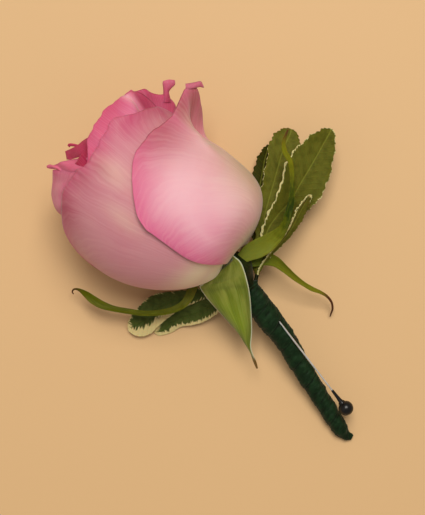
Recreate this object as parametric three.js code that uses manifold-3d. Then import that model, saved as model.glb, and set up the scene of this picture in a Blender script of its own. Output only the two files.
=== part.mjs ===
// A pink rose boutonniere lying on a table: one half-open rose bud with its calyx and stem, two
// short sprigs of variegated leaves, green floral tape round all the stems, and a pin with a round head.
// Millimetres. +Z is up, +Y runs from the taped stem to the bloom. The origin is on the table,
// under the middle of the whole spray.

import * as THREE from 'three';
import { mergeVertices } from 'three/addons/utils/BufferGeometryUtils.js';
import Module from 'manifold-3d';

const wasm = await Module();
wasm.setup();

const rad = THREE.MathUtils.degToRad;
const UP = new THREE.Vector3(0, 0, 1);

// Driving dimensions of the bloom. Its axis leaves the calyx 13 degrees to the left of +Y and rises
// by 10 degrees. Turns round the axis count from the top, positive to the right.
const BLOOM_LENGTH = 54;
const BLOOM_RADIUS = 23;
const BLOOM_BASE = new THREE.Vector3(-1.0, 1.4, 16.5);
const BLOOM_YAW = rad(13);
const BLOOM_PITCH = rad(10);
const LEFT_SIDE = { radius: 23.6, girth: 30, bluntness: 1.95, fall: 0.44 };
const RIGHT_SIDE = { radius: 22.3, girth: 17, bluntness: 2.8, fall: 0.16 };
const PETAL_THICKNESS = 0.6;

// The calyx and the stem under it
const HIP_RADIUS = 5.2;
const HIP_LENGTH = 5.4;
const HIP_GAP = 0.75;
const STEM_RADIUS = 1.45;
const SEPAL_THICKNESS = 0.7;

// Leaves, twigs, tape and pin
const LEAF_THICKNESS = 0.6;
const TWIG_RADIUS = 0.55;
const CLEARANCE = 0.25;
const TAPE_LENGTH = 51;
const TAPE_PITCH = 7;
const TAPE_STEP = 0.28;
const TAIL_START = 0.75;
const TAIL_END = 0.95;
const PIN_RADIUS = 0.35;
const PIN_BORE_RADIUS = 0.62;
const PIN_HEAD_RADIUS = 2.05;

// The middle of the spray's outline on the table, which the model is moved by
const MIDDLE = new THREE.Vector3(1.23, -1.93, 0);

// A smooth value through a list of stations, each a list of numbers, with t from 0 to 1
function through(stations, t) {
  const last = stations.length - 1;
  const k = Math.min(Math.floor(t * last), last - 1);
  const f = t * last - k;
  const p0 = stations[Math.max(k - 1, 0)];
  const p1 = stations[k];
  const p2 = stations[k + 1];
  const p3 = stations[Math.min(k + 2, last)];
  return p1.map((value, i) => value + 0.5 * f * (p2[i] - p0[i]
    + f * (2 * p0[i] - 5 * value + 4 * p2[i] - p3[i] + f * (3 * value - p0[i] - 3 * p2[i] + p3[i]))));
}

function ease(x) {
  return THREE.MathUtils.smoothstep(x, 0, 1);
}

// A closed body from vertices and triangles, turned inside out if its faces point inwards
function bodyOf(points, triangles) {
  let volume = 0;
  for (const [a, b, c] of triangles) {
    volume += points[a].dot(new THREE.Vector3().crossVectors(points[b], points[c]));
  }
  const geometry = new THREE.BufferGeometry();
  const numbers = points.flatMap((p) => p.toArray());
  geometry.setAttribute('position', new THREE.Float32BufferAttribute(numbers, 3));
  geometry.setIndex(triangles.flatMap(([a, b, c]) => (volume > 0 ? [a, b, c] : [a, c, b])));
  return geometry;
}

// A thin blade of even thickness about the middle face that surface(u, v) gives. Both faces are
// split into triangles alike. No point of it lies below the table.
function blade(surface, columns, rows, thickness) {
  const at = (i, j) => surface(i / columns, j / rows);
  const count = (columns + 1) * (rows + 1);
  const points = new Array(2 * count);
  for (let i = 0; i <= columns; i += 1) {
    for (let j = 0; j <= rows; j += 1) {
      const across = at(Math.min(i + 1, columns), j).sub(at(Math.max(i - 1, 0), j));
      const along = at(i, Math.min(j + 1, rows)).sub(at(i, Math.max(j - 1, 0)));
      const offset = across.cross(along).normalize().multiplyScalar(thickness / 2);
      const pair = [at(i, j).add(offset), at(i, j).sub(offset)];
      const lower = pair[0].z < pair[1].z ? 0 : 1;
      pair[lower].z = Math.max(pair[lower].z, 0);
      pair[1 - lower].z = Math.max(pair[1 - lower].z, thickness);
      points[i * (rows + 1) + j] = pair[0];
      points[count + i * (rows + 1) + j] = pair[1];
    }
  }
  const triangles = [];
  const wall = (a, b) => triangles.push([a, b, b + count], [a, b + count, a + count]);
  for (let i = 0; i < columns; i += 1) {
    for (let j = 0; j < rows; j += 1) {
      const a = i * (rows + 1) + j;
      const b = a + rows + 1;
      triangles.push([a, a + 1, b + 1], [a, b + 1, b]);
      triangles.push([a + count, b + 1 + count, a + 1 + count], [a + count, b + count, b + 1 + count]);
    }
    wall(i * (rows + 1), (i + 1) * (rows + 1));
    wall((i + 1) * (rows + 1) + rows, i * (rows + 1) + rows);
  }
  for (let j = 0; j < rows; j += 1) {
    wall(j + 1, j);
    wall(columns * (rows + 1) + j, columns * (rows + 1) + j + 1);
  }
  return bodyOf(points, triangles);
}

// A closed body through rings of points, with a cap at each end
function loft(rings) {
  const sides = rings[0].length;
  const points = rings.flat();
  const triangles = [];
  for (let k = 0; k < rings.length - 1; k += 1) {
    for (let i = 0; i < sides; i += 1) {
      const a = k * sides + i;
      const b = k * sides + ((i + 1) % sides);
      triangles.push([a, b, b + sides], [a, b + sides, a + sides]);
    }
  }
  for (const k of [0, rings.length - 1]) {
    const centre = points.length;
    points.push(rings[k].reduce((sum, p) => sum.add(p), new THREE.Vector3()).divideScalar(sides));
    for (let i = 0; i < sides; i += 1) {
      const a = k * sides + i;
      const b = k * sides + ((i + 1) % sides);
      triangles.push(k === 0 ? [centre, b, a] : [centre, a, b]);
    }
  }
  return bodyOf(points, triangles);
}

// The level direction across a route and the direction square to both, at t
function acrossRoute(stations, t) {
  const before = new THREE.Vector3(...through(stations, Math.max(t - 0.01, 0)));
  const after = new THREE.Vector3(...through(stations, Math.min(t + 0.01, 1)));
  const tangent = after.sub(before).normalize();
  const side = new THREE.Vector3().crossVectors(UP, tangent).normalize();
  return { side, lift: new THREE.Vector3().crossVectors(tangent, side) };
}

// An oval bar along stations of x, y, z, half-width and half-height. relief(angle, t) adds to its
// size. No point of it lies below the table.
function bar(stations, sides, steps, { relief = () => 0, from = 0, to = 1 } = {}) {
  const between = Array.from({ length: steps }, (_, k) => k / steps).filter((t) => t > from && t < to);
  return loft([from, ...between, to].map((t) => {
    const [x, y, z, halfWidth, halfHeight] = through(stations, t);
    const { side, lift } = acrossRoute(stations, t);
    return Array.from({ length: sides }, (_, i) => {
      const angle = (2 * Math.PI * i) / sides;
      const more = relief(angle, t);
      const point = new THREE.Vector3(x, y, z)
        .addScaledVector(side, (halfWidth + more) * Math.cos(angle))
        .addScaledVector(lift, (halfHeight + more) * Math.sin(angle));
      point.z = Math.max(point.z, 0);
      return point;
    });
  }));
}

function solid(geometry) {
  const source = geometry.clone();
  source.deleteAttribute('normal');
  source.deleteAttribute('uv');
  const merged = mergeVertices(source, 1e-5);
  return new wasm.Manifold(new wasm.Mesh({
    numProp: 3,
    vertProperties: new Float32Array(merged.attributes.position.array),
    triVerts: new Uint32Array(merged.index.array),
  }));
}

function join(geometries) {
  return geometries.map(solid).reduce((whole, piece) => whole.add(piece));
}

function cut(whole, geometries) {
  return geometries.map(solid).reduce((rest, piece) => rest.subtract(piece), whole);
}

function piece(name, body, material) {
  const { vertProperties, triVerts } = body.getMesh();
  const geometry = new THREE.BufferGeometry();
  geometry.setAttribute('position', new THREE.Float32BufferAttribute(vertProperties, 3));
  geometry.setIndex(new THREE.Uint32BufferAttribute(triVerts, 1));
  geometry.computeVertexNormals();
  const mesh = new THREE.Mesh(geometry, new THREE.MeshStandardMaterial(material));
  mesh.name = name;
  return mesh;
}

// The bloom's own directions
const AXIS = new THREE.Vector3(
  -Math.sin(BLOOM_YAW) * Math.cos(BLOOM_PITCH),
  Math.cos(BLOOM_YAW) * Math.cos(BLOOM_PITCH),
  Math.sin(BLOOM_PITCH),
);
const TOP = UP.clone().addScaledVector(AXIS, -AXIS.z).normalize();
const RIGHT = new THREE.Vector3().crossVectors(AXIS, TOP);

function bloomPoint(along, turn, radius) {
  return BLOOM_BASE.clone()
    .addScaledVector(AXIS, along)
    .addScaledVector(TOP, radius * Math.cos(rad(turn)))
    .addScaledVector(RIGHT, radius * Math.sin(rad(turn)));
}

// The bud's outline on one side: a blunt bowl up to its girth, then a slow fall to the mouth
function outline({ radius, girth, bluntness, fall }, along) {
  if (along < girth) {
    return radius * (1 - ((girth - along) / girth) ** bluntness) ** (1 / bluntness);
  }
  return radius * (1 - fall * ((along - girth) / (BLOOM_LENGTH - girth)) ** 2);
}

function budRadius(along, turn) {
  const share = (1 + Math.sin(rad(turn))) / 2;
  return (1 - share) * outline(LEFT_SIDE, along) + share * outline(RIGHT_SIDE, along);
}

// Wide petals wrap the whole bud, one inside the other. Each has its depth in the bud at its two
// margins, and its rim as turns and heights from the left margin to the right one. A spout is a
// pinched tip that curls outwards.
const OUTER_PETALS = [
  {
    depth: [0, 0], rim: [[-17, 27], [-14, 31], [-7, 35], [3, 38.4], [14, 41], [30, 41.6], [48, 40.2],
      [66, 39.3], [80, 39.8], [94, 37.4], [112, 34.5], [130, 30], [142, 24], [146, 17]],
    spout: { turn: 86, reach: 8.2, spread: 13 }, roll: 0.4,
  },
  {
    depth: [1.1, 1.1], rim: [[-99, 24], [-94, 33], [-80, 41], [-64, 45.4], [-46, 48.6], [-24, 49.2],
      [-6, 48.7], [12, 49.8], [28, 50.6], [42, 47.8], [60, 44], [76, 41.4], [84, 34]], roll: 0.5,
  },
  {
    depth: [1.1, 2.3], rim: [[118, 20], [124, 30], [138, 38], [160, 44], [188, 47.5], [214, 48.5],
      [236, 50.5], [250, 53], [262, 51], [276, 46], [284, 38]], roll: 1.2,
  },
  {
    depth: [3.4, 3.4], rim: [[-66, 40], [-52, 48.5], [-36, 52.6], [-20, 54], [-6, 53], [10, 52.4],
      [26, 53.6], [42, 54], [56, 52.4], [68, 48], [76, 42]], roll: 1.4,
  },
  {
    depth: [4.6, 4.6], rim: [[14, 40], [26, 48], [42, 51.6], [58, 50.5], [70, 46.6], [80, 45.6], [92, 45],
      [112, 47], [130, 46], [146, 40]], spout: { turn: 80, reach: 8.4, spread: 8 }, roll: 1.6,
  },
  {
    depth: [4.2, 5.6], rim: [[150, 36], [164, 45], [186, 49], [210, 50.5], [234, 52], [256, 53.4],
      [274, 52], [290, 47], [300, 40]], roll: 1.6,
  },
];

// Inner petals stand on the core and roll tighter towards the middle
const INNER_PETALS = 8;
const INNER_START = 22;
const INNER_RISE = 0.7;
const INNER_BOWL = 8;
const INNER_RADIUS = 12.2;
const INNER_STEP = 1.32;
const INNER_HEIGHT = 50.5;
const INNER_DROP = 0.25;
const INNER_FOOT = 1.5;
const INNER_ROLL = 0.7;
const INNER_SPIRAL = 0.3;
const INNER_TURN = 160;
const INNER_HALF_TURNS = { first: 58, more: 13, most: 150 };
const SHOULDERS = { round: 1.2, corner: 9 };
const GOLDEN_TURN = 137.5;
const CORE_RADIUS = 11.5;
const CORE_MIDDLE = 18;
const CORE_HALF = 17;
const ROOT_RADIUS = 7;
const BOWL_SCALE = 25;
const FIRST_STEP = 0.12;

// A petal is this share as wide at its root, and its rim rolls and its spout opens near the top
const ROOT_WIDTH = 0.82;
const ROOT_END = 0.45;
const ROLL_START = 0.8;
const SPOUT_START = 0.7;

// Steps along a petal are even along the bowl: a height for each step, and back
const heightOf = (step) => (step < Math.PI / 2
  ? BOWL_SCALE * (1 - Math.cos(step)) : BOWL_SCALE * (1 + step - Math.PI / 2));
const stepOf = (height) => (height < BOWL_SCALE
  ? Math.acos(1 - height / BOWL_SCALE) : Math.PI / 2 + height / BOWL_SCALE - 1);

function outerPetal({ depth, rim, spout, roll }) {
  const middle = (rim[0][0] + rim[rim.length - 1][0]) / 2;
  return (u, v) => {
    const [edgeTurn, edgeHeight] = through(rim, u);
    const width = THREE.MathUtils.lerp(ROOT_WIDTH, 1, ease(v / ROOT_END));
    const turn = middle + (edgeTurn - middle) * width;
    const level = THREE.MathUtils.lerp(depth[0], depth[1], u);
    const shrink = 1 - level / BLOOM_LENGTH;
    const lastStep = stepOf((edgeHeight - level) / shrink);
    const height = heightOf(FIRST_STEP + (lastStep - FIRST_STEP) * v);
    let radius = budRadius(height, turn) * (1 - level / BLOOM_RADIUS);
    radius += roll * ease((v - ROLL_START) / (1 - ROLL_START));
    if (spout) {
      const beside = (edgeTurn - spout.turn) / spout.spread;
      radius += spout.reach * Math.exp(-(beside ** 4)) * ease((v - SPOUT_START) / (1 - SPOUT_START));
    }
    return bloomPoint(level + height * shrink, turn, radius);
  };
}

function innerPetal(k) {
  const reach = INNER_RADIUS - INNER_STEP * k;
  const start = INNER_START + INNER_RISE * k;
  const middle = INNER_TURN + GOLDEN_TURN * k;
  const half = Math.min(INNER_HALF_TURNS.first + INNER_HALF_TURNS.more * k, INNER_HALF_TURNS.most);
  return (u, v) => {
    const side = 2 * u - 1;
    const rim = INNER_HEIGHT - INNER_DROP * k - SHOULDERS.corner * side ** 6 - SHOULDERS.round * side ** 2;
    const rise = THREE.MathUtils.lerp(INNER_FOOT, rim - start, v);
    const bowl = rise < INNER_BOWL ? Math.sqrt(1 - ((INNER_BOWL - rise) / INNER_BOWL) ** 2) : 1;
    const roll = INNER_ROLL * ease((v - ROLL_START) / (1 - ROLL_START));
    return bloomPoint(start + rise, middle + half * side, (reach + INNER_SPIRAL * side) * bowl + roll);
  };
}

// The dense middle of the bud, which every petal is rooted in
function core() {
  const rings = [];
  const sides = 16;
  const rows = 14;
  for (let k = 1; k < rows; k += 1) {
    const height = (CORE_MIDDLE + CORE_HALF) * ((1 - Math.cos((Math.PI * k) / rows)) / 2);
    const oval = CORE_RADIUS * Math.sqrt(Math.max(1 - ((height - CORE_MIDDLE) / CORE_HALF) ** 2, 0));
    const root = height < CORE_MIDDLE ? ROOT_RADIUS : 0;
    rings.push(Array.from({ length: sides }, (_, i) => {
      const turn = (360 * i) / sides;
      return bloomPoint(height, turn, Math.min(Math.max(oval, root), budRadius(height, turn)));
    }));
  }
  return loft(rings);
}

function rosePetals() {
  const wide = OUTER_PETALS.slice(0, 3).map((petal) => blade(outerPetal(petal), 15, 9, PETAL_THICKNESS));
  const covered = OUTER_PETALS.slice(3).map((petal) => blade(outerPetal(petal), 11, 8, PETAL_THICKNESS));
  const inner = Array.from({ length: INNER_PETALS }, (_, k) => blade(innerPetal(k), 8, 5, PETAL_THICKNESS));
  return join([core(), ...wide, ...covered, ...inner]);
}

// The hip is an urn under the bloom. Heights along the bloom's axis and radii, from the stem up.
function hip() {
  const profile = [[-HIP_LENGTH - 1.2, STEM_RADIUS], [-HIP_LENGTH, 2.4], [-4.3, 3.9], [-2.9, HIP_RADIUS],
    [-1.6, 5.1], [-HIP_GAP, 4.6]];
  const sides = 16;
  return loft(profile.map(([height, radius]) => Array.from({ length: sides },
    (_, i) => bloomPoint(height, (360 * i) / sides, radius))));
}

// A blade between a left and a right edge, bulged by bow and waved by ripple towards its edges
function bladeBetween(left, right, { columns, rows, thickness, bow = 0, ripple = 0, waves = 3 }) {
  return blade((u, v) => {
    const a = new THREE.Vector3(...through(left, v));
    const b = new THREE.Vector3(...through(right, v));
    const along = new THREE.Vector3(...through(left, Math.min(v + 0.02, 1)))
      .sub(new THREE.Vector3(...through(left, Math.max(v - 0.02, 0))));
    const normal = new THREE.Vector3().subVectors(b, a).cross(along).normalize();
    if (normal.z < 0) normal.negate();
    const side = 2 * u - 1;
    const wide = Math.min(a.distanceTo(b) / 8, 1);
    const wave = ripple * wide * Math.abs(side) ** 3 * Math.sin(2 * Math.PI * (waves * v + 0.35 * side));
    return a.lerp(b, u).addScaledVector(normal, bow * wide * (1 - side * side) + wave);
  }, columns, rows, thickness);
}

// Sepals. The broad one lies towards the stem, the rest are long narrow tails that curl away.
const BROAD_SEPAL_LEFT = [[-3.4, -0.5, 19.4], [-7.2, -0.4, 18.2], [-10.6, -0.2, 16.8], [-11.9, -3.7, 16.4],
  [-11.8, -8.2, 15.8], [-11.4, -13.4, 14], [-11.7, -18.6, 12], [-12.2, -24, 10]];
const BROAD_SEPAL_RIGHT = [[0.6, -0.4, 21.2], [0.3, -1.9, 21.3], [-0.6, -3.8, 20.7], [-1.8, -7, 19.6],
  [-3.9, -10.8, 17.6], [-6.6, -14.6, 15.4], [-9.8, -18.4, 12.8], [-11.5, -24.2, 10.2]];
const SEPAL_TAILS = [
  [[-3.8, -1.4, 16, 2, 0.9], [-7.4, -0.2, 14.2, 1.7, 0.8], [-11, 0.9, 12.2, 1.3, 0.7],
    [-14.7, 0.9, 11, 1.1, 0.7], [-18.2, 0.6, 10.2, 0.9, 0.6], [-22.1, 1.5, 9.6, 0.85, 0.55],
    [-25.9, 3.3, 9.2, 0.8, 0.5], [-30.3, 6.6, 9, 0.9, 0.5], [-34, 10.8, 9, 1, 0.45],
    [-35.9, 15, 9, 1.25, 0.4], [-36.8, 18.4, 8.8, 1, 0.4], [-38, 20.6, 8, 0.6, 0.35],
    [-39.4, 21.9, 6.6, 0.45, 0.3], [-40.6, 21.8, 5.4, 0.35, 0.3]],
  [[2.2, -0.6, 18.6, 1.8, 1], [5.0, -0.9, 20, 2, 0.6], [8.5, -0.7, 20.3, 2.1, 0.5],
    [12.4, -0.5, 20, 1.8, 0.5], [15.9, 0.9, 19.8, 1.5, 0.5], [19.2, 3.3, 19.8, 1.35, 0.45],
    [22, 6.2, 20, 1.2, 0.45], [24.6, 9.2, 20.4, 1, 0.45], [26.2, 12.3, 20.8, 0.9, 0.4],
    [27.4, 15.3, 21.2, 0.85, 0.4], [28.6, 17.8, 21.6, 0.75, 0.35], [30.3, 19.7, 22, 0.5, 0.3],
    [32.1, 20.7, 22.2, 0.35, 0.3]],
  [[2.4, 0.4, 14.6, 1.8, 0.9], [5, 0.1, 13.5, 1.6, 0.6], [7.2, -1.1, 12.8, 1.4, 0.45],
    [8.8, -3.6, 11.9, 1.3, 0.45], [10, -6.9, 10.5, 1.2, 0.45], [10.7, -10, 9.2, 1.05, 0.45],
    [11.2, -13, 8, 0.8, 0.45], [11.9, -15.8, 7, 0.65, 0.4], [13.5, -18, 6, 0.55, 0.4],
    [15.1, -20.3, 5, 0.5, 0.35], [15.4, -22.8, 3.8, 0.45, 0.35], [14.7, -24.7, 2.4, 0.4, 0.3],
    [13.3, -25.9, 1, 0.35, 0.3]],
  [[-0.9, 0.2, 12.4, 1.8, 0.9], [-0.3, -2, 10.2, 1.6, 0.7], [0.8, -4.8, 8.2, 1.4, 0.55],
    [1, -8.4, 6.4, 1.2, 0.5], [0.5, -12.6, 4.6, 1, 0.45], [-0.5, -18, 3, 0.7, 0.4],
    [-1.5, -23.5, 1.6, 0.4, 0.3]],
];

// The taped stem: x, y, z, half-width and half-height of the tape round it, then its loose tail
const TAPE_ROUTE = [[1.65, -7.4, 14.85, 3.45, 3.05], [0.95, -10.6, 13.8, 3.45, 3], [0.05, -14, 12.6, 3.3, 2.9],
  [-0.7, -18.2, 11, 3.15, 2.85], [-1.35, -23.5, 9.2, 3, 2.75], [-2.1, -29.8, 7.4, 2.75, 2.5],
  [-2.8, -38, 5.3, 2.5, 2.35], [-3.4, -45.5, 3.7, 2.35, 2.25], [-4, -52.8, 2.25, 2.2, 2.15],
  [-3.9, -55.4, 1.6, 1.5, 1.1], [-2.9, -57.2, 1, 0.8, 0.6]];
const STEM_RISE = 0.55;
const STEM_STATIONS = 9;
const STEM_TAPER = 0.03;
const TWIG_SIDE = 1.55;
const TWIG_DROP = 1.15;
const TWIG_STATIONS = 4;
const TWIG_FEET = { left: [-2, -4.9, 12.2], right: [4.3, -4.6, 13.5] };
// Each stem stops this share of the way down its own room in the tape
const CUT_END = 0.975;

// Stations of a stem that enters the tape from start and runs on beside the middle of its route
function tapedRoute(start, count, sideways, upwardsAt, radiusAt) {
  const taped = TAPE_ROUTE.slice(0, count).map(([x, y, z], k) => {
    const { side, lift } = acrossRoute(TAPE_ROUTE, k / (TAPE_ROUTE.length - 1));
    return new THREE.Vector3(x, y, z)
      .addScaledVector(side, sideways)
      .addScaledVector(lift, upwardsAt(k))
      .toArray();
  });
  return [start, ...taped].map((place, k) => [...place, radiusAt(k), radiusAt(k)]);
}

// The rose's stem, from inside the hip to its cut end in the tape. Extra makes its room there.
function stem(extra, { from = 0, to = 1 } = {}) {
  const route = tapedRoute(
    bloomPoint(-HIP_LENGTH, 0, STEM_RISE).toArray(),
    STEM_STATIONS,
    0,
    (k) => STEM_RISE * (1 - k / STEM_STATIONS),
    (k) => STEM_RADIUS - STEM_TAPER * k + extra,
  );
  return bar(route, 10, 16, { from, to });
}

// A twig runs under the rose's stem on each side and leaves the tape beside it
function twig(side, extra, to = 1) {
  const sideways = side === 'left' ? -TWIG_SIDE : TWIG_SIDE;
  const radius = TWIG_RADIUS + extra;
  const route = tapedRoute(TWIG_FEET[side], TWIG_STATIONS, sideways, () => -TWIG_DROP, () => radius);
  return bar(route, 8, 8, { to });
}

// The pin runs from its point, inside the rose's stem, to its round head. Places along it are
// shares of the way from the point to the middle of the head.
const PIN_POINT = new THREE.Vector3(0.1, -9.8, 14.5);
const PIN_HEAD = new THREE.Vector3(0.6, -48.8, 8);
const PIN_TIP_RADIUS = 0.12;
const PIN_END = 0.995;
const COLLAR_START = 0.925;
const COLLAR_RADII = [0.85, 1.3];

function rod(from, to, radius, sides, tip = radius) {
  const length = from.distanceTo(to);
  const geometry = new THREE.CylinderGeometry(radius, tip, length, sides, 1);
  const turn = new THREE.Quaternion().setFromUnitVectors(new THREE.Vector3(0, 1, 0),
    new THREE.Vector3().subVectors(to, from).normalize());
  const middle = new THREE.Vector3().addVectors(from, to).divideScalar(2);
  return geometry.applyQuaternion(turn).translate(middle.x, middle.y, middle.z);
}

const pinPlace = (share) => new THREE.Vector3().lerpVectors(PIN_POINT, PIN_HEAD, share);
const pinBore = (from = -0.012, to = 1) => rod(pinPlace(from), pinPlace(to), PIN_BORE_RADIUS, 8);

function calyxAndStem() {
  const broad = bladeBetween(BROAD_SEPAL_LEFT, BROAD_SEPAL_RIGHT,
    { columns: 6, rows: 12, thickness: SEPAL_THICKNESS, bow: 0.9 });
  const tails = SEPAL_TAILS.map((stations) => bar(stations, 6, 2 * (stations.length - 1)));
  return cut(join([hip(), stem(0, { to: CUT_END }), broad, ...tails]), [pinBore()]);
}

// Leaves as left and right edges, from the foot of the leaf to its tip
const RIGHT_LEAVES = [
  {
    left: [[3.7, -4.9, 13.4], [5.1, -1.6, 10.9], [8, 2.6, 8.4], [12, 8, 6.4], [16.2, 12.4, 5.4],
      [17.8, 16.8, 5], [21, 20.6, 4.8], [25, 22.6, 4.8], [28.4, 23, 5]],
    right: [[4.6, -5.1, 13.4], [6.1, -2.2, 10.8], [9.4, 1.4, 8.1], [14.4, 5.2, 5.6], [20, 9, 4.6],
      [24.6, 13, 4.4], [27.6, 17, 4.4], [29.3, 20.4, 4.5], [29.6, 22.6, 4.8]],
  },
  {
    left: [[3.8, -5.0, 13.5], [5.3, -2.0, 11.6], [8.2, 2.0, 10], [12.5, 6.4, 9.4], [17, 10.5, 9.2],
      [21.4, 14.4, 9], [26.5, 19.4, 8.8], [31.2, 22.4, 8.4], [35, 22.8, 8]],
    right: [[4.7, -5.2, 13.5], [6.3, -2.7, 11.5], [9.6, 0.8, 9.7], [13.8, 4.2, 8.8], [19.5, 7.4, 8.2],
      [25.5, 10.8, 8], [31, 14.4, 8], [34.8, 18, 7.8], [36.2, 21.8, 7.8]],
  },
  {
    left: [[3.8, -5.0, 13.7], [5.6, -2.4, 12.1], [8, 0.2, 11.2], [11.5, 4.4, 11.3], [15.9, 7.1, 12],
      [21.7, 10.3, 13.4], [27, 14.6, 14.2], [31.5, 16.2, 14.4], [37, 16.8, 14.2], [42, 15.8, 13.8]],
    right: [[4.7, -5.2, 13.7], [6.4, -3.3, 11.9], [9.2, -1.2, 10.8], [13.5, 1.8, 10.6], [18, 2.3, 10.5],
      [23, 1.2, 10.8], [28, 1.3, 11.4], [33.5, 3.8, 11.8], [38.6, 7.8, 12.2], [43.2, 14.2, 13.4]],
  },
  {
    left: [[3.8, -4.9, 13.9], [5, -3.7, 14.5], [6.9, -2.3, 15.2], [9.6, -1.1, 16], [14.8, 0.6, 17],
      [19.1, 1.8, 17.3], [22.9, 3.2, 17.2], [27, 3.2, 16.4]],
    right: [[4.6, -5.3, 13.5], [6, -4.7, 13.5], [7.8, -3.5, 13.6], [10.4, -2.1, 13.6], [15.5, -0.8, 13.6],
      [19.8, -0.6, 13.4], [23.5, 0.6, 13.2], [27.4, 2.6, 13.8]],
  },
];
const LEFT_LEAVES = [
  {
    left: [[-1, -4.6, 12.9], [-2.8, -3.4, 11.4], [-5.8, -1.8, 9.3], [-10, 0.8, 7], [-15, 3.8, 5.6],
      [-20, 6.6, 4.8], [-25, 8, 4], [-30, 7.6, 3], [-34.4, 5.6, 2.2]],
    right: [[-1.5, -5.4, 12.8], [-3.3, -4.6, 11.1], [-6.4, -3.9, 8.8], [-11.4, -2.4, 6.2], [-17, -1, 4.6],
      [-22.5, -0.2, 3.8], [-28, -0.4, 3], [-32.4, 1, 2.4], [-34.9, 4.4, 2.1]],
  },
  {
    left: [[-1, -4.8, 12.6], [-2.6, -4.2, 10.4], [-5.6, -3.4, 7.6], [-10.4, -1.2, 5.2], [-15.6, 0.4, 3.5],
      [-20.8, 1.2, 2.3], [-25.6, 1, 1.4], [-29.6, -0.8, 0.8]],
    right: [[-1.4, -5.5, 12.5], [-2.8, -6, 10.1], [-5.4, -6.6, 7], [-10.2, -6.6, 4.4], [-15, -6.6, 2.5],
      [-20.2, -5.2, 1.2], [-25.6, -4.2, 0.3], [-29.9, -2.6, 0.3]],
  },
];

function sprig(leaves, side) {
  const blades = leaves.map(({ left, right }) => bladeBetween(left, right,
    { columns: 6, rows: 14, thickness: LEAF_THICKNESS, bow: -0.5, ripple: 0.35 }));
  return join([twig(side, 0, CUT_END), ...blades]);
}

// Each turn of the tape overlaps the one before it, which leaves a low step along a helix. The
// step fades out towards the tail.
function floralTape() {
  const step = (angle, t) => {
    const phase = (t * TAPE_LENGTH) / TAPE_PITCH - angle / (2 * Math.PI);
    return TAPE_STEP * (phase - Math.floor(phase)) * (1 - ease((t - TAIL_START) / (TAIL_END - TAIL_START)));
  };
  const body = solid(bar(TAPE_ROUTE, 16, 36, { relief: step }));
  return cut(body, [
    stem(CLEARANCE, { from: 0.05 }),
    twig('left', CLEARANCE),
    twig('right', CLEARANCE),
    pinBore(),
  ]);
}

function pinShaft() {
  return solid(rod(PIN_POINT, pinPlace(PIN_END), PIN_RADIUS, 8, PIN_TIP_RADIUS));
}

function pinHead() {
  const ball = new THREE.SphereGeometry(PIN_HEAD_RADIUS, 16, 10)
    .translate(PIN_HEAD.x, PIN_HEAD.y, PIN_HEAD.z);
  const collar = rod(pinPlace(COLLAR_START), PIN_HEAD, COLLAR_RADII[1], 12, COLLAR_RADII[0]);
  return cut(join([ball, collar]), [pinBore(COLLAR_START - 0.02, 1.003)]);
}

const LOOKS = {
  petals: { color: '#e9a3b6', roughness: 0.6, metalness: 0 },
  calyx: { color: '#7f9447', roughness: 0.6, metalness: 0 },
  rightLeaves: { color: '#66703a', roughness: 0.55, metalness: 0 },
  leftLeaves: { color: '#3f5a33', roughness: 0.55, metalness: 0 },
  tape: { color: '#1f4a35', roughness: 0.8, metalness: 0 },
  steel: { color: '#c9cbcf', roughness: 0.3, metalness: 1 },
  bead: { color: '#16151a', roughness: 0.2, metalness: 0 },
};

const group = new THREE.Group();
group.position.copy(MIDDLE).negate();
group.add(
  piece('rose_petals', rosePetals(), LOOKS.petals),
  piece('rose_calyx_stem', calyxAndStem(), LOOKS.calyx),
  piece('leaf_sprig_right', sprig(RIGHT_LEAVES, 'right'), LOOKS.rightLeaves),
  piece('leaf_sprig_left', sprig(LEFT_LEAVES, 'left'), LOOKS.leftLeaves),
  piece('floral_tape', floralTape(), LOOKS.tape),
  piece('pin_shaft', pinShaft(), LOOKS.steel),
  piece('pin_head', pinHead(), LOOKS.bead),
);

export default group;
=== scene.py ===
"""A rose boutonniere lying on a table: petals, calyx, leaf sprigs, floral tape and pin."""

import math

import bmesh
import bpy
import numpy as np
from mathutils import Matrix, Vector


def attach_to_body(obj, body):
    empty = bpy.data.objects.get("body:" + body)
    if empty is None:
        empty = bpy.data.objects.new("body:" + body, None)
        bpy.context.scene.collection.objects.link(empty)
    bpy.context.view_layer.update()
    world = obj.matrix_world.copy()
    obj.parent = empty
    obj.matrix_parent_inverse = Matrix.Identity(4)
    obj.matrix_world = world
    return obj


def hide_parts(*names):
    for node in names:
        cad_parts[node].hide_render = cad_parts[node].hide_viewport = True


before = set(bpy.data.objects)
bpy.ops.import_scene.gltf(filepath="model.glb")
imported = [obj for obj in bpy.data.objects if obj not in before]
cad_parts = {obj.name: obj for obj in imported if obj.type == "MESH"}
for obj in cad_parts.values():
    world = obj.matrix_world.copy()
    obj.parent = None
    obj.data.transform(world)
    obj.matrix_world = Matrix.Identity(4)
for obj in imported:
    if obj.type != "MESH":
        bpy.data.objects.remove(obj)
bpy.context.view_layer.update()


# Petals of the bud
# One half-open pink rose. Wide soft petals, velvety and finely veined, wrap the bud one inside the
# other. They grow on the hip, and their rims roll outwards or pinch into a curled tip.
MM = 0.001
MIDDLE = np.array([1.23, -1.93, 0.0])
BLOOM_LENGTH = 54.0
BLOOM_RADIUS = 23.0
BLOOM_BASE = np.array([-1.0, 1.4, 16.5])
BLOOM_YAW = math.radians(13)
BLOOM_PITCH = math.radians(10)
LEFT_SIDE = {"radius": 23.6, "girth": 30.0, "bluntness": 1.95, "fall": 0.44}
RIGHT_SIDE = {"radius": 22.3, "girth": 17.0, "bluntness": 2.8, "fall": 0.16}
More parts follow.
